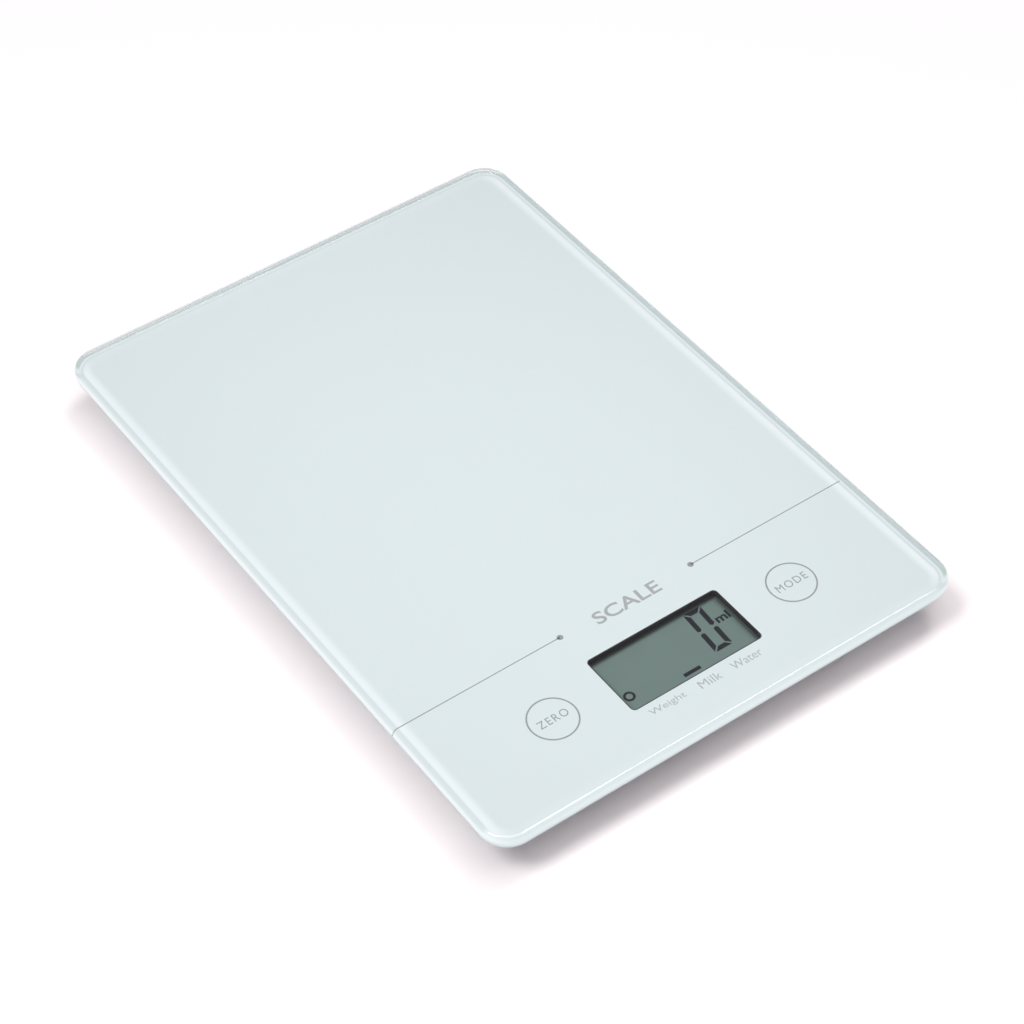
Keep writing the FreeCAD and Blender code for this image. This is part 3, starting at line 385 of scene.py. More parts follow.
@dataclass(frozen=True)
class Enamel:
    """Pale enamel fired on the back of the glass; painted brightening at its rim stands for light piped
    in.
    """

    name: str
    colour: Colour
    painted_glow_colour: Colour
    half_width: float
    half_length: float
    corner: float
    # Bands of painted light and shade along the rim, in millimetres from it, with their strengths.
    painted_glow: Band = (2.4, 3.0, 3.5, 6.2)
    painted_glow_shares: tuple[float, float] = (0.13, 0.62)
    painted_highlight: Band = (1.1, 1.5, 1.8, 2.1)
    painted_highlight_share: float = 0.35
    painted_shade_line: Band = (1.8, 2.1, 2.3, 2.7)
    painted_shade_line_share: float = 0.6
    painted_shade_line_tone: float = 0.86
    edge: tuple[float, float] = (1.0 * MM, 1.6 * MM)
    painted_rim_shade: float = 0.76
    falloff: float = 0.35
    falloff_shade: float = 0.9
    cloud_size: float = 45 * MM
    grain_size: float = 0.3 * MM
    grain_depth: float = 0.002 * MM

    def material(self) -> bpy.types.Material:
        """The distance to the rim is that to a rounded rectangle.

        It is the corner radius less the length of the point's overshoot past the
        rectangle shrunk by that radius, where overshoots below 0 count as 0. Three
        bands of painted light and shade follow the rim: a thin painted highlight, a
        darker painted shade line and a wide painted bright band for light piped in,
        which is strong beside the long edges, where the share of the overshoot along
        X is 1, and faint beside the short ones, where it is 0. Right at the rim the
        colour darkens as painted shade. The field darkens slowly with the square of
        the distance from the middle.

        Returns:
            The material.
        """
        shader = Shader(self.name)
        x, y, _ = shader.place()
        over_x = (abs(x) - (self.half_width - self.corner)).at_least(0.0)
        over_y = (abs(y) - (self.half_length - self.corner)).at_least(0.0)
        inside = ((self.half_width - self.corner) - abs(x)).at_most(
            (self.half_length - self.corner) - abs(y)
        ).at_least(0.0)
        over = over_x * over_x + over_y * over_y
        rim = inside + self.corner - over**0.5
        sides = over_x * over_x / over
        least, more = self.painted_glow_shares
        # Painted light: a bright band near the rim stands for light piped through the glass, stronger
        # beside the long sides.
        painted_glow = self.between(rim, self.painted_glow) * (sides * more + least)
        # Painted highlight line and painted shade line along the rim.
        painted_highlight = self.between(rim, self.painted_highlight)
        painted_shade_line = self.between(rim, self.painted_shade_line)
        cloud = shader.noise(self.cloud_size, 2.0)
        grain = shader.noise(self.grain_size, 2.0)
        far = ((x * x) / self.half_width**2 + (y * y) / self.half_length**2) * self.falloff
        dull = shade(self.colour, self.falloff_shade)
        plain = shader.blend(self.colour, dull, far + cloud * 0.04)
        lit = shader.blend(plain, self.painted_glow_colour, painted_glow.at_least(painted_highlight * self.painted_highlight_share))
        with_painted_shade_line = shader.blend(
            lit, shade(self.colour, self.painted_shade_line_tone), painted_shade_line * self.painted_shade_line_share
        )
        # Painted shade: the enamel darkens right at the rim.
        edge = 1.0 - rim.ramp(*self.edge)
        return shader.done(shader.principled({
            "Base Color": shader.blend(with_painted_shade_line, shade(self.colour, self.painted_rim_shade), edge),
            "Roughness": grain * 0.1 + 0.6,
            "Normal": shader.bump(grain, self.grain_depth),
        }))

    @staticmethod
    def between(rim: Number, band: Band) -> Number:
        """A band along the rim, smooth at both of its edges."""
        start, full, fade, end = band
        return rim.ramp(start * MM, full * MM) * (1.0 - rim.ramp(fade * MM, end * MM))


@dataclass(frozen=True)
class Ink:
    """Printed ink or a darkened display segment."""

    name: str
    colour: Colour
    roughness: float = 0.55
    gloss: float = 0.5
    grain_size: float = 0.18 * MM
    grain_depth: float = 0.002 * MM

    def material(self) -> bpy.types.Material:
        """Ink lies a little uneven, which drifts its colour and roughness.

        Returns:
            The material.
        """
        shader = Shader(self.name)
        grain = shader.noise(self.grain_size, 2.0)
        return shader.done(shader.principled({
            "Base Color": shader.blend(shade(self.colour, 0.9), shade(self.colour, 1.1), grain),
            "Roughness": grain * 0.1 + (self.roughness - 0.05),
            "Specular IOR Level": self.gloss,
            "Normal": shader.bump(grain, self.grain_depth),
        }))


@dataclass(frozen=True)
class Polariser:
    """The display's face: grey-green film over its reflector, with a fine mottle."""

    name: str
    colour: Colour
    far_edge: float
    right_edge: float
    far_reach: float = 1.7 * MM
    right_reach: float = 1.2 * MM
    right_share: float = 0.7
    collar_share: float = 0.85
    collar_shade: float = 0.12
    mottle_size: float = 0.22 * MM
    mottle_depth: float = 0.001 * MM
    cloud_size: float = 12 * MM
    gloss: float = 0.1

    def material(self) -> bpy.types.Material:
        """The mottle is the reflector's grain. A painted shadow of the collar darkens two edges.

        Returns:
            The material.
        """
        shader = Shader(self.name)
        x, y, _ = shader.place()
        mottle = shader.noise(self.mottle_size, 2.0)
        cloud = shader.noise(self.cloud_size, 2.0)
        share = mottle * 0.4 + cloud * 0.6
        film = shader.blend(shade(self.colour, 0.96), shade(self.colour, 1.04), share)
        # Painted shadow of the window's collar along the display's far and right sides.
        far_shade = 1.0 - (self.far_edge - y).ramp(0.0, self.far_reach)
        right_shade = 1.0 - (self.right_edge - x).ramp(0.0, self.right_reach)
        dark = far_shade.at_least(right_shade * self.right_share) * self.collar_share
        return shader.done(shader.principled({
            "Base Color": shader.blend(film, shade(self.colour, self.collar_shade), dark),
            "Roughness": mottle * 0.08 + 0.5,
            "Specular IOR Level": self.gloss,
            "Normal": shader.bump(mottle, self.mottle_depth),
        }))


@dataclass(frozen=True)
class Laminate:
    """Circuit board: green mask over copper tracks, on a woven glass base."""

    name: str
    mask: Colour
    track: Colour
    pitch: float = 2.6 * MM
    bend_size: float = 16 * MM
    weave_size: float = 0.5 * MM
    relief: float = 0.03 * MM

    def material(self) -> bpy.types.Material:
        """Tracks show where a saw wave of x and y, bent by noise, is at its lowest.

        Returns:
            The material.
        """
        shader = Shader(self.name)
        x, y, _ = shader.place()
        bend = shader.noise(self.bend_size, 1.0).ramp(0.45, 0.55) * 2.0
        saw = ((x + y * 0.5) / self.pitch + bend).math("PINGPONG", 0.5)
        tracks = 1.0 - saw.ramp(0.10, 0.14)
        weave = shader.noise(self.weave_size, 1.0)
        return shader.done(shader.principled({
            "Base Color": shader.blend(self.mask, self.track, tracks * 0.6 + weave * 0.1),
            "Roughness": weave * 0.1 + 0.28,
            "Normal": shader.bump(tracks * 0.6 + weave * 0.4, self.relief),
        }))


# ------------------------------------------------------------------- mesh work


def rounded_outline(
    width: float, length: float, corner: float, centre: Spot = (0.0, 0.0)
) -> np.ndarray:
    """Points round a rectangle with rounded corners, anticlockwise.

    Each corner's arc is its centre plus the corner radius times the cosine and
    the sine of an angle that runs over a quarter turn. The sides are the
    straight runs between the arcs.

    Args:
        width: size along X.
        length: size along Y.
        corner: the corners' radius.
        centre: the rectangle's middle.

    Returns:
        An array of points, one row each.
    """
    quarter = np.arange(4)[:, None]
    angle = (quarter + np.linspace(0.0, 1.0, ARC_STEPS)) * math.pi / 2
    sign_x = np.array([1, -1, -1, 1])[:, None]
    sign_y = np.array([1, 1, -1, -1])[:, None]
    x = centre[0] + sign_x * (width / 2 - corner) + corner * np.cos(angle)
    y = centre[1] + sign_y * (length / 2 - corner) + corner * np.sin(angle)
    return np.stack([x.ravel(), y.ravel()], axis=1)


def circle_outline(diameter: float, centre: Spot) -> np.ndarray:
    """Points round a circle, anticlockwise: centre plus radius times cosine and sine.

    Args:
        diameter: the circle's diameter.
        centre: its middle.

    Returns:
        An array of points, one row each.
    """
    angle = np.linspace(0.0, 2 * math.pi, ROUND_STEPS, endpoint=False)
    round_points = np.stack([np.cos(angle), np.sin(angle)], axis=1)
    return np.array(centre) + round_points * diameter / 2


def mesh_object(name: str, points: np.ndarray, faces: list) -> bpy.types.Object:
    """Puts points and faces into a new object at the origin.

    Args:
        name: the object's name.
        points: the points, one row each.
        faces: for each face, the rows of its points.

    Returns:
        The object.
    """
    mesh = bpy.data.meshes.new(name)
    mesh.from_pydata(points.tolist(), [], faces)
    mesh.update()
    made = bpy.data.objects.new(name, mesh)
    bpy.context.scene.collection.objects.link(made)
    return made


def plate(
    name: str, outline: np.ndarray, low: float, high: float, hole: np.ndarray | None = None
) -> bpy.types.Object:
    """A flat closed solid between two heights, with at most one hole.

    The outline is carried straight up from low to high. With a hole of as many
    points, the top and the bottom are bands of quads from outline to hole.

    Args:
        name: the piece's name.
        outline: points anticlockwise.
        low: height of the underside.
        high: height of the top.
        hole: points of the hole, as many as the outline's, anticlockwise.

    Returns:
        The piece.
    """
    loops = [outline] if hole is None else [outline, hole]
    count = len(outline)
    levels = [np.column_stack([loop, np.full(count, z)]) for loop in loops for z in (low, high)]
    here = np.arange(count)
    there = np.roll(here, -1)
    walls = np.column_stack([here, there, there + count, here + count])
    if hole is None:
        faces = walls.tolist() + [here[::-1].tolist(), (here + count).tolist()]
    else:
        inner = walls[:, ::-1] + 2 * count
        under = np.column_stack([here, here + 2 * count, there + 2 * count, there])
        over = np.column_stack([here, there, there + 2 * count, here + 2 * count]) + count
        faces = np.concatenate([walls, inner, under, over]).tolist()
    return mesh_object(name, np.concatenate(levels), faces)


def lettering(
    name: str,
    words: str,
    box: Box,
    low: float,
    high: float,
    weight: float = 0.0,
    spread: float = 1.0,
) -> bpy.types.Object:
    """Plain letters as a flat solid that fills a box on the plan.

    Args:
        name: the piece's name.
        words: what is written.
        box: left, front, right and back of the room for it.
        low: height of the letters' underside.
        high: height of their top.
        weight: how much each stroke is thickened, as a share of the letters' size.
        spread: the letters' spacing, 1 being the face's own.

    Returns:
        The piece, its mesh stretched to the box.
    """
    curve = bpy.data.curves.new(name + "_text", "FONT")
    curve.body = words
    curve.extrude = 0.5
    curve.offset = weight
    curve.space_character = spread
    curve.resolution_u = 4
    text = bpy.data.objects.new(name + "_text", curve)
    bpy.context.scene.collection.objects.link(text)
    bpy.context.view_layer.update()
    graph = bpy.context.evaluated_depsgraph_get()
    mesh = bpy.data.meshes.new_from_object(text.evaluated_get(graph))
    bpy.data.objects.remove(text)
    mesh.name = name
    points = np.empty(len(mesh.vertices) * 3)
    mesh.vertices.foreach_get("co", points)
    points = points.reshape(-1, 3)
    start, end = points.min(axis=0), points.max(axis=0)
    left, front, right, back = box
    aim_start, aim_end = np.array([left, front, low]), np.array([right, back, high])
    points = aim_start + (points - start) / (end - start) * (aim_end - aim_start)
    mesh.vertices.foreach_set("co", points.ravel())
    mesh.update()
    made = bpy.data.objects.new(name, mesh)
    bpy.context.scene.collection.objects.link(made)
    return made


def joined(name: str, parts: list) -> bpy.types.Object:
    """One object that holds the meshes of several, which are removed.

    Args:
        name: the new object's name.
        parts: the objects to join.

    Returns:
        The new object.
    """
    points, faces, start = [], [], 0
    for part in parts:
        count = len(part.data.vertices)
        block = np.empty(count * 3)
        part.data.vertices.foreach_get("co", block)
        points.append(block.reshape(-1, 3))
        faces += [[start + index for index in face.vertices] for face in part.data.polygons]
        start += count
        bpy.data.objects.remove(part)
    return mesh_object(name, np.concatenate(points), faces)


def dress(piece: bpy.types.Object, finish: bpy.types.Material, body: str | None = None) -> None:
    """Gives a piece its finish, and rides a new piece on its body.

    Args:
        piece: the piece.
        finish: its material.
        body: the body that a new piece rides on; a CAD node has its own.
    """
    piece.data.materials.clear()
    piece.data.materials.append(finish)
    if body is not None:
        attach(piece, body)
        log.info("piece %s rides on %s", piece.name, body)


def middle(node: str) -> Vector:
    """The middle of a CAD node's box."""
    low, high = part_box(node)
    return (low + high) / 2


# ------------------------------------------------------------------- the scale


@dataclass
class GlassTop:
    """The platform's glass, its enamel and the print between them."""

    glass_corner: float = 9.0 * MM
    enamel_inset: float = 0.3 * MM
    enamel_low: float = 0.02 * MM
    enamel_high: float = 0.04 * MM
    ink_low: float = 0.045 * MM
    ink_high: float = 0.06 * MM
    window_corner: float = 1.5 * MM
    window_line: float = 0.3 * MM
    ring_diameter: float = 15.0 * MM
    ring_stroke: float = 0.5 * MM
    key_word_widths: Size = (9.7 * MM, 10.5 * MM)
    key_word_height: float = 2.7 * MM
    key_word_spread: float = 1.2
    line_from_keys: float = 22.3 * MM
    line_stroke: float = 0.35 * MM
    line_margin: float = 1.7 * MM
    dot_x: float = 23.0 * MM
    dot_diameter: float = 1.9 * MM
    legend_front: float = -15.85 * MM
    legend_back: float = -13.1 * MM
    legend_runs: tuple[tuple[str, float, float], ...] = (
        ("Weight", -19.4 * MM, -7.5 * MM), ("Milk", -2.7 * MM, 4.6 * MM), ("Water", 8.6 * MM, 18.8 * MM),
    )
    title_box: Box = (-11.5 * MM, 19.4 * MM, 11.0 * MM, 24.0 * MM)
    title_weight: float = 0.016
    glass_tint: Colour = (0.955, 0.98, 0.975)
    window_ink: Colour = (0.02, 0.017, 0.026)
    colour: Colour = (0.678, 0.745, 0.76)
    # Colour of the enamel's painted brightening near the rim, standing for light piped in.
    painted_glow_colour: Colour = (0.80, 0.85, 0.87)
    print_grey: Colour = (0.29, 0.30, 0.31)
    legend_grey: Colour = (0.40, 0.41, 0.42)
    title_grey: Colour = (0.36, 0.37, 0.38)

    def build(self) -> None:
        """Dresses the glass, then makes the enamel and every printed mark."""
        glass = TemperedGlass("clear_tempered_glass", self.glass_tint).material()
        dress(bpy.data.objects["glass_platform"], glass)
        low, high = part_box("glass_platform")
        self.under = low.z
        self.half_width, self.half_length = high.x, high.y
        self.key_y = middle("touch_spring_zero").y
        self.key_x = middle("touch_spring_mode").x
        self.enamel()
        self.keys()
        self.dividing_lines()
        self.legends()

    def levels(self) -> tuple[float, float]:
        """Heights of the ink's underside and top."""
        return self.under + self.ink_low, self.under + self.ink_high

    def enamel(self) -> None:
        """Makes the enamel, open at the display window, and the window's dark line."""
        width = 2 * (self.half_width - self.enamel_inset)
        length = 2 * (self.half_length - self.enamel_inset)
        outline = rounded_outline(width, length, self.glass_corner - self.enamel_inset)
        centre = (0.0, self.key_y)
        hole = rounded_outline(*WINDOW, self.window_corner, centre)
        low, high = self.under + self.enamel_low, self.under + self.enamel_high
        finish = Enamel(
            "fired_enamel", self.colour, self.painted_glow_colour, self.half_width, self.half_length,
            self.glass_corner,
        )
        dress(plate("back_enamel", outline, low, high, hole), finish.material(), HOUSING)
        inner_size = (side - 2 * self.window_line for side in WINDOW)
        inner = rounded_outline(*inner_size, self.window_corner - self.window_line, centre)
        edge = Ink("dark_window_ink", self.window_ink).material()
        dress(plate("print_window_edge", hole, *self.levels(), inner), edge, HOUSING)

    def keys(self) -> None:
        """Makes each touch key's ring and its word."""
        ink = Ink("grey_key_ink", self.print_grey).material()
        low, high = self.levels()
        height = self.key_word_height
        for key, side, width in zip(("zero", "mode"), (-1, 1), self.key_word_widths):
            centre = (side * self.key_x, self.key_y)
            outer = circle_outline(self.ring_diameter, centre)
            inner = circle_outline(self.ring_diameter - 2 * self.ring_stroke, centre)
            dress(plate(f"print_ring_{key}", outer, low, high, inner), ink, HOUSING)
            box = (
                centre[0] - width / 2, centre[1] - height / 2,
                centre[0] + width / 2, centre[1] + height / 2,
            )
            word = lettering(
                f"print_word_{key}", key.upper(), box, low, high, spread=self.key_word_spread
            )
            dress(word, ink, HOUSING)

    def dividing_lines(self) -> None:
        """Makes the thin line to each side, with a dot at its inner end."""
        ink = Ink("grey_line_ink", self.print_grey).material()
        low, high = self.levels()
        y = self.key_y + self.line_from_keys
        for name, side in (("left", -1), ("right", 1)):
            ends = sorted((side * self.dot_x, side * (self.half_width - self.line_margin)))
            run = ends[1] - ends[0]
            bar = rounded_outline(run, self.line_stroke, self.line_stroke / 2, (sum(ends) / 2, y))
            line = plate("line_part", bar, low, high)
            spot = circle_outline(self.dot_diameter, (side * self.dot_x, y))
            dot = plate("dot_part", spot, low, high)
            dress(joined(f"print_line_{name}", [line, dot]), ink, HOUSING)

    def legends(self) -> None:
        """Makes the words under the window and the plain word above it."""
        ink = Ink("light_legend_ink", self.legend_grey).material()
        low, high = self.levels()
        front, back = self.key_y + self.legend_front, self.key_y + self.legend_back
        for word, left, right in self.legend_runs:
            box = (left, front, right, back)
            dress(lettering(f"print_{word.lower()}", word, box, low, high), ink, HOUSING)
        left, front, right, back = self.title_box
        box = (left, self.key_y + front, right, self.key_y + back)
        title = lettering("print_title", "SCALE", box, low, high, self.title_weight)
        dress(title, Ink("grey_title_ink", self.title_grey).material(), HOUSING)


@dataclass
class Display:
    """The liquid crystal display: its glass, its darkened segments and its holder."""

    digit: Size = (6.1 * MM, 16.2 * MM)
    digit_place: Spot = (10.0 * MM, -5.8 * MM)
    stroke: float = 1.55 * MM
    gap: float = 0.34 * MM
    shoulder: float = 0.55
    lean: float = 0.06
    unit_box: Box = (17.4 * MM, 2.1 * MM, 22.0 * MM, 5.1 * MM)
    unit_weight: float = 0.03
    pointer_place: Spot = (0.6 * MM, -7.25 * MM)
    pointer_size: Size = (5.7 * MM, 1.25 * MM)
    pointer_corner: float = 0.1 * MM
    lamp_place: Spot = (-18.8 * MM, -4.1 * MM)
    lamp_diameters: Size = (3.5 * MM, 2.0 * MM)
    lift: float = 0.01 * MM
    thickness: float = 0.02 * MM
    face: Colour = (0.157, 0.212, 0.20)
    dark: Colour = (0.012, 0.013, 0.02)

    def build(self) -> None:
        """Dresses the display's CAD nodes and makes what it shows."""
        self.key_y = middle("touch_spring_zero").y
        width, length = WINDOW
        film = Polariser("lcd_polariser", self.face, self.key_y + length / 2, width / 2)
        dress(bpy.data.objects["lcd_panel"], film.material())
        reflector = Metal("reflector_foil", (0.78, 0.79, 0.8), 0.4)
        dress(bpy.data.objects["lcd_reflector"], reflector.material())
        black = Moulded("black_moulding", (0.012, 0.011, 0.016), 0.5, Finish.SATIN).material()
        for node in ("lcd_holder", "unit_switch", "switch_stem"):
            dress(bpy.data.objects[node], black)
        zebra = Rubber("zebra_rubber", (0.5, 0.5, 0.52), 0.3).material()
        dress(bpy.data.objects["zebra_strip"], zebra)
        self.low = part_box("lcd_panel")[1].z + self.lift
        self.ink = Ink("liquid_crystal", self.dark, 0.6, 0.1).material()
        self.zero()
        self.unit()
        self.pointer()
        self.lamp()

    def solid(
        self, name: str, outline: np.ndarray, hole: np.ndarray | None = None
    ) -> bpy.types.Object:
        """One flat shape of the display's thickness."""
        return plate(name, outline, self.low, self.low + self.thickness, hole)

    def zero(self) -> None:
        """Makes the digit 0 from six bars with bevelled ends.

        The left upper bar and the top bar are drawn. The others are their mirror
        images, and all of them lean by the same share of their height.
        """
        width, height = self.digit
        t, g, half = self.stroke, self.gap, height / 2
        bevel = half + self.shoulder * t
        upright = np.array([
            [0.0, bevel], [t / 2, half + g], [t, bevel],
            [t, height - t - g], [0.0, height - g],
        ])
        level = np.array([
            [g, height], [t + g, height - t], [width - t - g, height - t], [width - g, height],
        ])
        flip_x = np.array([-1.0, 1.0])
        flip_y = np.array([1.0, -1.0])
        shapes = {
            "left_high": upright,
            "right_high": upright * flip_x + [width, 0.0],
            "left_low": upright * flip_y + [0.0, height],
            "right_low": upright * flip_x * flip_y + [width, height],
            "top": level,
            "bottom": level * flip_y + [0.0, height],
        }
        place = np.array(self.digit_place) + [0.0, self.key_y]
        lean = np.array([[1.0, 0.0], [self.lean, 1.0]])
        for name, shape in shapes.items():
            outline = self.anticlockwise(shape @ lean) + place
            dress(self.solid(f"segment_{name}", outline), self.ink, HOUSING)

    @staticmethod
    def anticlockwise(shape: np.ndarray) -> np.ndarray:
        """The shape's points in anticlockwise order, told by the sign of its area.

        Args:
            shape: an outline's points, in either order.

        Returns:
            The same points, anticlockwise.
        """
        x, y = shape.T
        area = np.sum(x * np.roll(y, -1) - y * np.roll(x, -1))
        return shape if area > 0 else shape[::-1]

    def unit(self) -> None:
        """Makes the small unit sign to the right of the digit."""
        left, front, right, back = self.unit_box
        box = (left, self.key_y + front, right, self.key_y + back)
        high = self.low + self.thickness
        sign = lettering("segment_unit", "ml", box, self.low, high, self.unit_weight)
        dress(sign, self.ink, HOUSING)

    def pointer(self) -> None:
        """Makes the bar that points at the chosen legend."""
        centre = (self.pointer_place[0], self.key_y + self.pointer_place[1])
        outline = rounded_outline(*self.pointer_size, self.pointer_corner, centre)
        dress(self.solid("segment_pointer", outline), self.ink, HOUSING)

    def lamp(self) -> None:
        """Makes the small ring that shows a stable zero."""
        centre = (self.lamp_place[0], self.key_y + self.lamp_place[1])
        outer, inner = (circle_outline(diameter, centre) for diameter in self.lamp_diameters)
        dress(self.solid("segment_stable", outer, inner), self.ink, HOUSING)


@dataclass
class Housing:
    """The two housing halves, their screws, the tape and the marks underneath."""

    white: Colour = (0.80, 0.815, 0.82)
    label_size: Size = (55.2 * MM, 31.2 * MM)
    label_corner: float = 1.7 * MM
    label_y: float = -22.0 * MM
    label_recess: float = 0.3 * MM
    label_thickness: float = 0.1 * MM
    glue_thickness: float = 0.02 * MM

    def build(self) -> None:
        """Dresses the housing's nodes and adds the plain label."""
        plastic = Moulded("white_housing_plastic", self.white, 0.5, Finish.SPARKED).material()
        for node in ("top_frame", "base_cover"):
            dress(bpy.data.objects[node], plastic)
        foam = Rubber("foam_tape", (0.82, 0.82, 0.8), 0.2).material()
        dress(bpy.data.objects["bonding_tape"], foam)
        zinc = Metal("zinc_screws", (0.68, 0.69, 0.72), 0.32).material()
        for node in ("housing_screws", "board_screws", "holder_screws", "sensor_screws"):
            dress(bpy.data.objects[node], zinc)
        self.label()

    def label(self) -> None:
        """Makes the blank label in its recess under the cover."""
        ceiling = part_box("base_cover")[0].z + self.label_recess
        outline = rounded_outline(*self.label_size, self.label_corner, (0.0, self.label_y))
        high = ceiling - self.glue_thickness
        low = high - self.label_thickness
        film = Ink("silver_label_film", (0.55, 0.56, 0.57), 0.4).material()
        dress(plate("blank_label", outline, low, high), film, HOUSING)


@dataclass
class Feet:
    """The four feet and the load sensors that they press."""

    rubber: Colour = (0.42, 0.44, 0.46)

    def build(self) -> None:
        """Dresses each corner's pad, post, sensor, gauge and leads."""
        rubber = Rubber("grey_foot_rubber", self.rubber, 0.35).material()
        post = Moulded("white_post_plastic", (0.82, 0.82, 0.8), 0.3, Finish.POLISHED).material()
        steel = Metal("nickel_sensor_steel", (0.62, 0.63, 0.65), 0.3).material()
        silicone = Rubber("gauge_silicone", (0.8, 0.8, 0.76), 0.2).material()
        sleeve = Moulded("red_wire_sleeve", (0.5, 0.03, 0.025), 0.4, Finish.POLISHED).material()
        dress(bpy.data.objects["battery_wires"], sleeve)
        for corner in CORNERS:
            dress(bpy.data.objects[f"foot_pad_{corner}"], rubber)
            dress(bpy.data.objects[f"foot_post_{corner}"], post)
            dress(bpy.data.objects[f"load_sensor_{corner}"], steel)
            dress(bpy.data.objects[f"gauge_coating_{corner}"], silicone)
            dress(bpy.data.objects[f"sensor_wires_{corner}"], sleeve)


@dataclass
class Underside:
    """The battery's cap, its cell and contacts, and the unit button."""

    grey: Colour = (0.5, 0.52, 0.54)
    mark_height: float = 0.12 * MM
    mark_sink: float = 0.02 * MM
    mark_radius: float = 19.0 * MM
    mark_side: float = 2.6 * MM
    cap_turn: float = 50.0
    pointer_radius: float = 10.8 * MM
    pointer_height: float = 0.08 * MM

    def build(self) -> None:
        """Dresses the nodes and adds the cap's pointer and its two stops' marks."""
        cap = Moulded("grey_cap_plastic", self.grey, 0.45, Finish.SPARKED).material()
        for node in ("battery_cap", "unit_button"):
            dress(bpy.data.objects[node], cap)
        cell = Metal("cell_steel", (0.72, 0.73, 0.74), 0.25).material()
        dress(bpy.data.objects["coin_cell"], cell)
        strip = Metal("nickel_strip", (0.74, 0.72, 0.68), 0.3).material()
        for node in ("battery_contact_positive", "battery_contact_negative"):
            dress(bpy.data.objects[node], strip)
        centre = middle("battery_cap")
        self.centre = np.array([centre.x, centre.y])
        cover_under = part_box("base_cover")[0].z
        white = Moulded("raised_mark_plastic", (0.80, 0.815, 0.82), 0.5).material()
        low, high = cover_under - self.mark_height, cover_under + self.mark_sink
        shut = self.around(0.0, self.mark_radius)
        opened = self.around(self.cap_turn, self.mark_radius)
        solid = plate("cover_mark_shut", circle_outline(self.mark_side, shut), low, high)
        ring = plate(
            "cover_mark_open", circle_outline(self.mark_side, opened), low, high,
            circle_outline(self.mark_side / 2, opened),
        )
        for piece in (solid, ring):
            dress(piece, white, HOUSING)
        cap_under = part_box("battery_cap")[0].z
        pointer = self.triangle(self.around(0.0, self.pointer_radius))
        low, high = cap_under - self.pointer_height, cap_under + self.mark_sink
        dress(plate("cap_pointer", pointer, low, high), cap, "battery_cap")

    def around(self, degrees: float, radius: float) -> Spot:
        """A point about the cap's middle, its angle turned from +Y towards +X."""
        angle = math.radians(degrees)
        return (
            self.centre[0] + radius * math.sin(angle),
            self.centre[1] + radius * math.cos(angle),
        )

    def triangle(self, centre: Spot) -> np.ndarray:
        """An arrowhead that points along +Y: three points at thirds of a turn.

        Args:
            centre: its middle.

        Returns:
            An array of points, one row each.
        """
        angle = math.radians(90.0) + np.arange(3) * 2 * math.pi / 3
        turned = np.stack([np.cos(angle), np.sin(angle)], 1)
        return np.array(centre) + turned * self.mark_side / 2


@dataclass
class Electronics:
    """The circuit board, its chip and components, and the key springs."""

    def build(self) -> None:
        """Dresses the nodes on and about the board."""
        board = Laminate("green_board", (0.012, 0.11, 0.035), (0.05, 0.26, 0.09)).material()
        dress(bpy.data.objects["circuit_board"], board)
        chip = Moulded("chip_epoxy", (0.01, 0.01, 0.012), 0.25, Finish.POLISHED).material()
        dress(bpy.data.objects["chip_coating"], chip)
        ceramic = Moulded("chip_ceramic", (0.42, 0.3, 0.2), 0.5, Finish.SATIN).material()
        dress(bpy.data.objects["board_components"], ceramic)
        steel = Metal("tinned_spring_steel", (0.74, 0.73, 0.7), 0.25).material()
        for node in ("touch_spring_zero", "touch_spring_mode"):
            dress(bpy.data.objects[node], steel)


# ------------------------------------------------------------ floor and lights


@dataclass(frozen=True)
class SoftBox:
    """A square lamp with a soft face, aimed at the scale."""

    name: str
    place: Triple
    size: float
    power: float
    colour: Colour = (1.0, 1.0, 1.0)

    def hang(self) -> None:
        """Makes the lamp where it hangs, turned to face the middle of the floor."""
        lamp = bpy.data.lights.new(self.name, "AREA")
        lamp.shape = "SQUARE"
        lamp.size = self.size
        lamp.energy = self.power
        lamp.color = self.colour
        held = bpy.data.objects.new(self.name, lamp)
        place = Vector(self.place)
        turn = place.to_track_quat("Z", "Y").to_matrix().to_4x4()
        held.matrix_world = Matrix.Translation(place) @ turn
        bpy.context.scene.collection.objects.link(held)


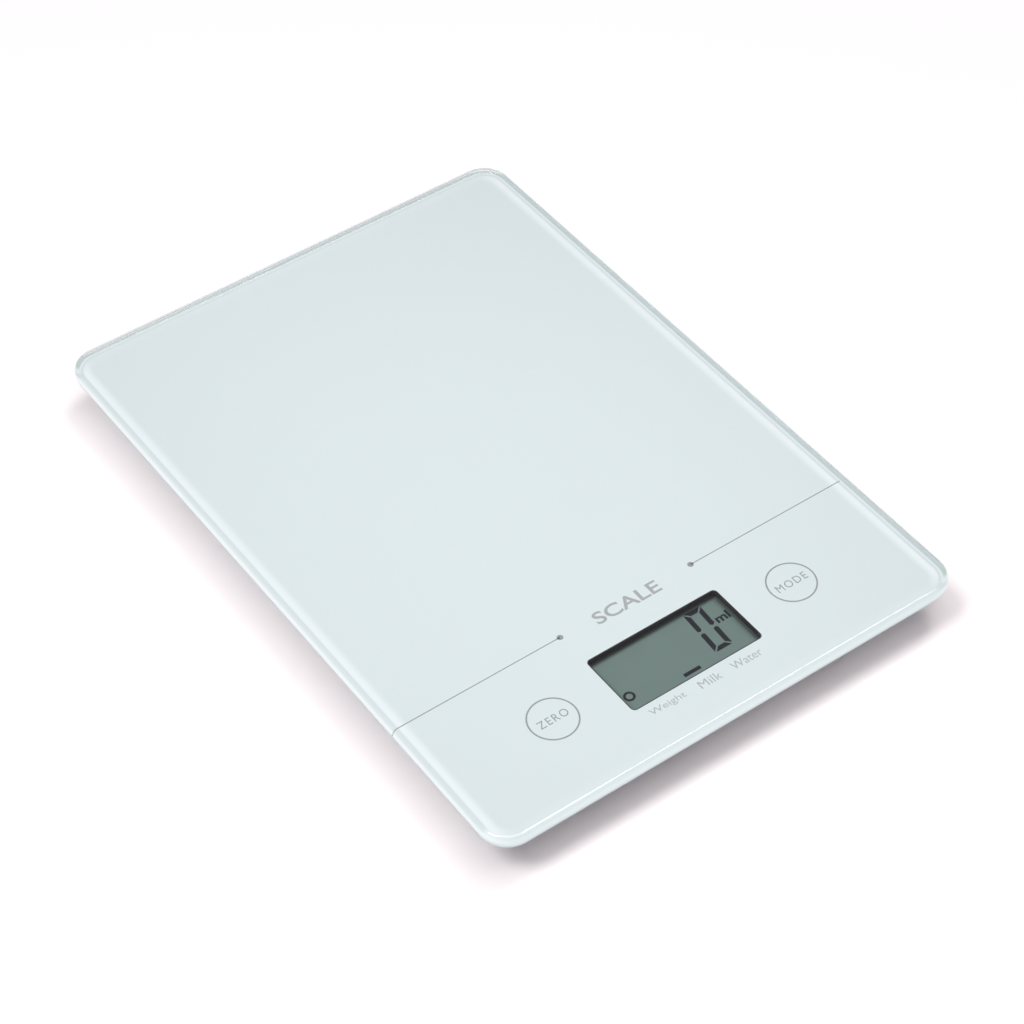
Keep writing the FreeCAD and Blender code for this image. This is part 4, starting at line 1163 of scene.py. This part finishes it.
@dataclass
class Studio:
    """White floor, soft light and the camera."""

    floor_half: float = 3.0
    floor_colour: Colour = (0.955, 0.91, 0.92)
    sky_colour: Colour = (1.0, 0.86, 0.90)
    sky_strength: float = 0.22
    backdrop_colour: Colour = (0.97, 0.97, 0.97)
    sweep: tuple[float, float] = (0.45, 1.3)
    lamps: tuple = (
        SoftBox("overhead_softbox", (0.0, -0.33, 1.6), 1.2, 13.0),
        SoftBox("left_softbox", (-1.25, 0.0, 2.1), 0.8, 27.5),
        SoftBox("right_softbox", (0.85, 0.1, 1.95), 0.6, 8.4),
    )
    lens: float = 98.44
    azimuth: float = -34.43
    elevation: float = 46.60
    roll: float = -1.58
    distance: float = 0.8113
    sensor_width: float = 36.0
    nearest: float = 0.01
    target: Triple = (-5.91 * MM, -17.29 * MM, 16.0 * MM)

    def build(self) -> None:
        """Makes the floor, the lights and the camera."""
        self.floor()
        self.sky()
        for lamp in self.lamps:
            lamp.hang()
        self.camera()

    def floor(self) -> None:
        """Makes the white floor, which fades into the backdrop far from the scale."""
        corners = np.array([[-1.0, -1.0, 0.0], [1.0, -1.0, 0.0], [1.0, 1.0, 0.0], [-1.0, 1.0, 0.0]])
        floor = mesh_object("studio_floor", corners * self.floor_half, [[0, 1, 2, 3]])
        shader = Shader("studio_white")
        paper = shader.noise(3 * MM, 2.0)
        surface = shader.principled({
            "Base Color": self.floor_colour,
            "Roughness": paper * 0.05 + 0.9,
            "Specular IOR Level": 0.0,
        })
        x, y, _ = shader.place()
        path = shader.node("ShaderNodeLightPath")
        seen = Number(shader, path.outputs["Is Camera Ray"])
        far = ((x * x + y * y) ** 0.5).ramp(*self.sweep) * seen
        backdrop = shader.node("ShaderNodeEmission", {}, {"Color": self.backdrop_colour})
        mixed = shader.node("ShaderNodeMixShader", {}, {0: far, 1: surface, 2: backdrop.outputs[0]})
        floor.data.materials.append(shader.done(mixed.outputs[0]))

    def sky(self) -> None:
        """Fills the surroundings with even dim light, before a white backdrop."""
        world = bpy.data.worlds.new("studio_sky")
        world.use_nodes = True
        tree = world.node_tree
        dim = tree.nodes["Background"]
        dim.inputs["Color"].default_value = (*self.sky_colour, 1.0)
        dim.inputs["Strength"].default_value = self.sky_strength
        backdrop = tree.nodes.new("ShaderNodeBackground")
        backdrop.inputs["Color"].default_value = (*self.backdrop_colour, 1.0)
        path = tree.nodes.new("ShaderNodeLightPath")
        mixed = tree.nodes.new("ShaderNodeMixShader")
        tree.links.new(path.outputs["Is Camera Ray"], mixed.inputs[0])
        tree.links.new(dim.outputs[0], mixed.inputs[1])
        tree.links.new(backdrop.outputs[0], mixed.inputs[2])
        tree.links.new(mixed.outputs[0], tree.nodes["World Output"].inputs["Surface"])
        bpy.context.scene.world = world

    def camera(self) -> None:
        """Places the camera by its azimuth, elevation, roll and distance from its target.

        The way back from the target is (sin a cos e, -cos a cos e, sin e), the way
        right is (cos a, sin a, 0), and up is their cross product. The roll turns
        right towards up.
        """
        azimuth, elevation = math.radians(self.azimuth), math.radians(self.elevation)
        roll = math.radians(self.roll)
        back = Vector((
            math.sin(azimuth) * math.cos(elevation),
            -math.cos(azimuth) * math.cos(elevation),
            math.sin(elevation),
        ))
        right = Vector((math.cos(azimuth), math.sin(azimuth), 0.0))
        up = back.cross(right)
        turned_right = right * math.cos(roll) + up * math.sin(roll)
        turned_up = up * math.cos(roll) - right * math.sin(roll)
        lens = bpy.data.cameras.new("camera")
        lens.lens = self.lens
        lens.sensor_width = self.sensor_width
        lens.clip_start = self.nearest
        held = bpy.data.objects.new("camera", lens)
        turn = Matrix((turned_right, turned_up, back)).transposed().to_4x4()
        held.matrix_world = Matrix.Translation(Vector(self.target) + back * self.distance) @ turn
        bpy.context.scene.collection.objects.link(held)
        bpy.context.scene.camera = held


def main() -> None:
    """Builds the scale's looks round the frame, and the studio round the scale."""
    logging.basicConfig(level=logging.INFO, format="%(message)s")
    bpy.context.scene.view_settings.view_transform = "Standard"
    for sub_assembly in (
        GlassTop(), Display(), Housing(), Feet(), Underside(), Electronics(), Studio(),
    ):
        log.info("building %s", type(sub_assembly).__name__)
        sub_assembly.build()


if __name__ == "__main__":
    main()
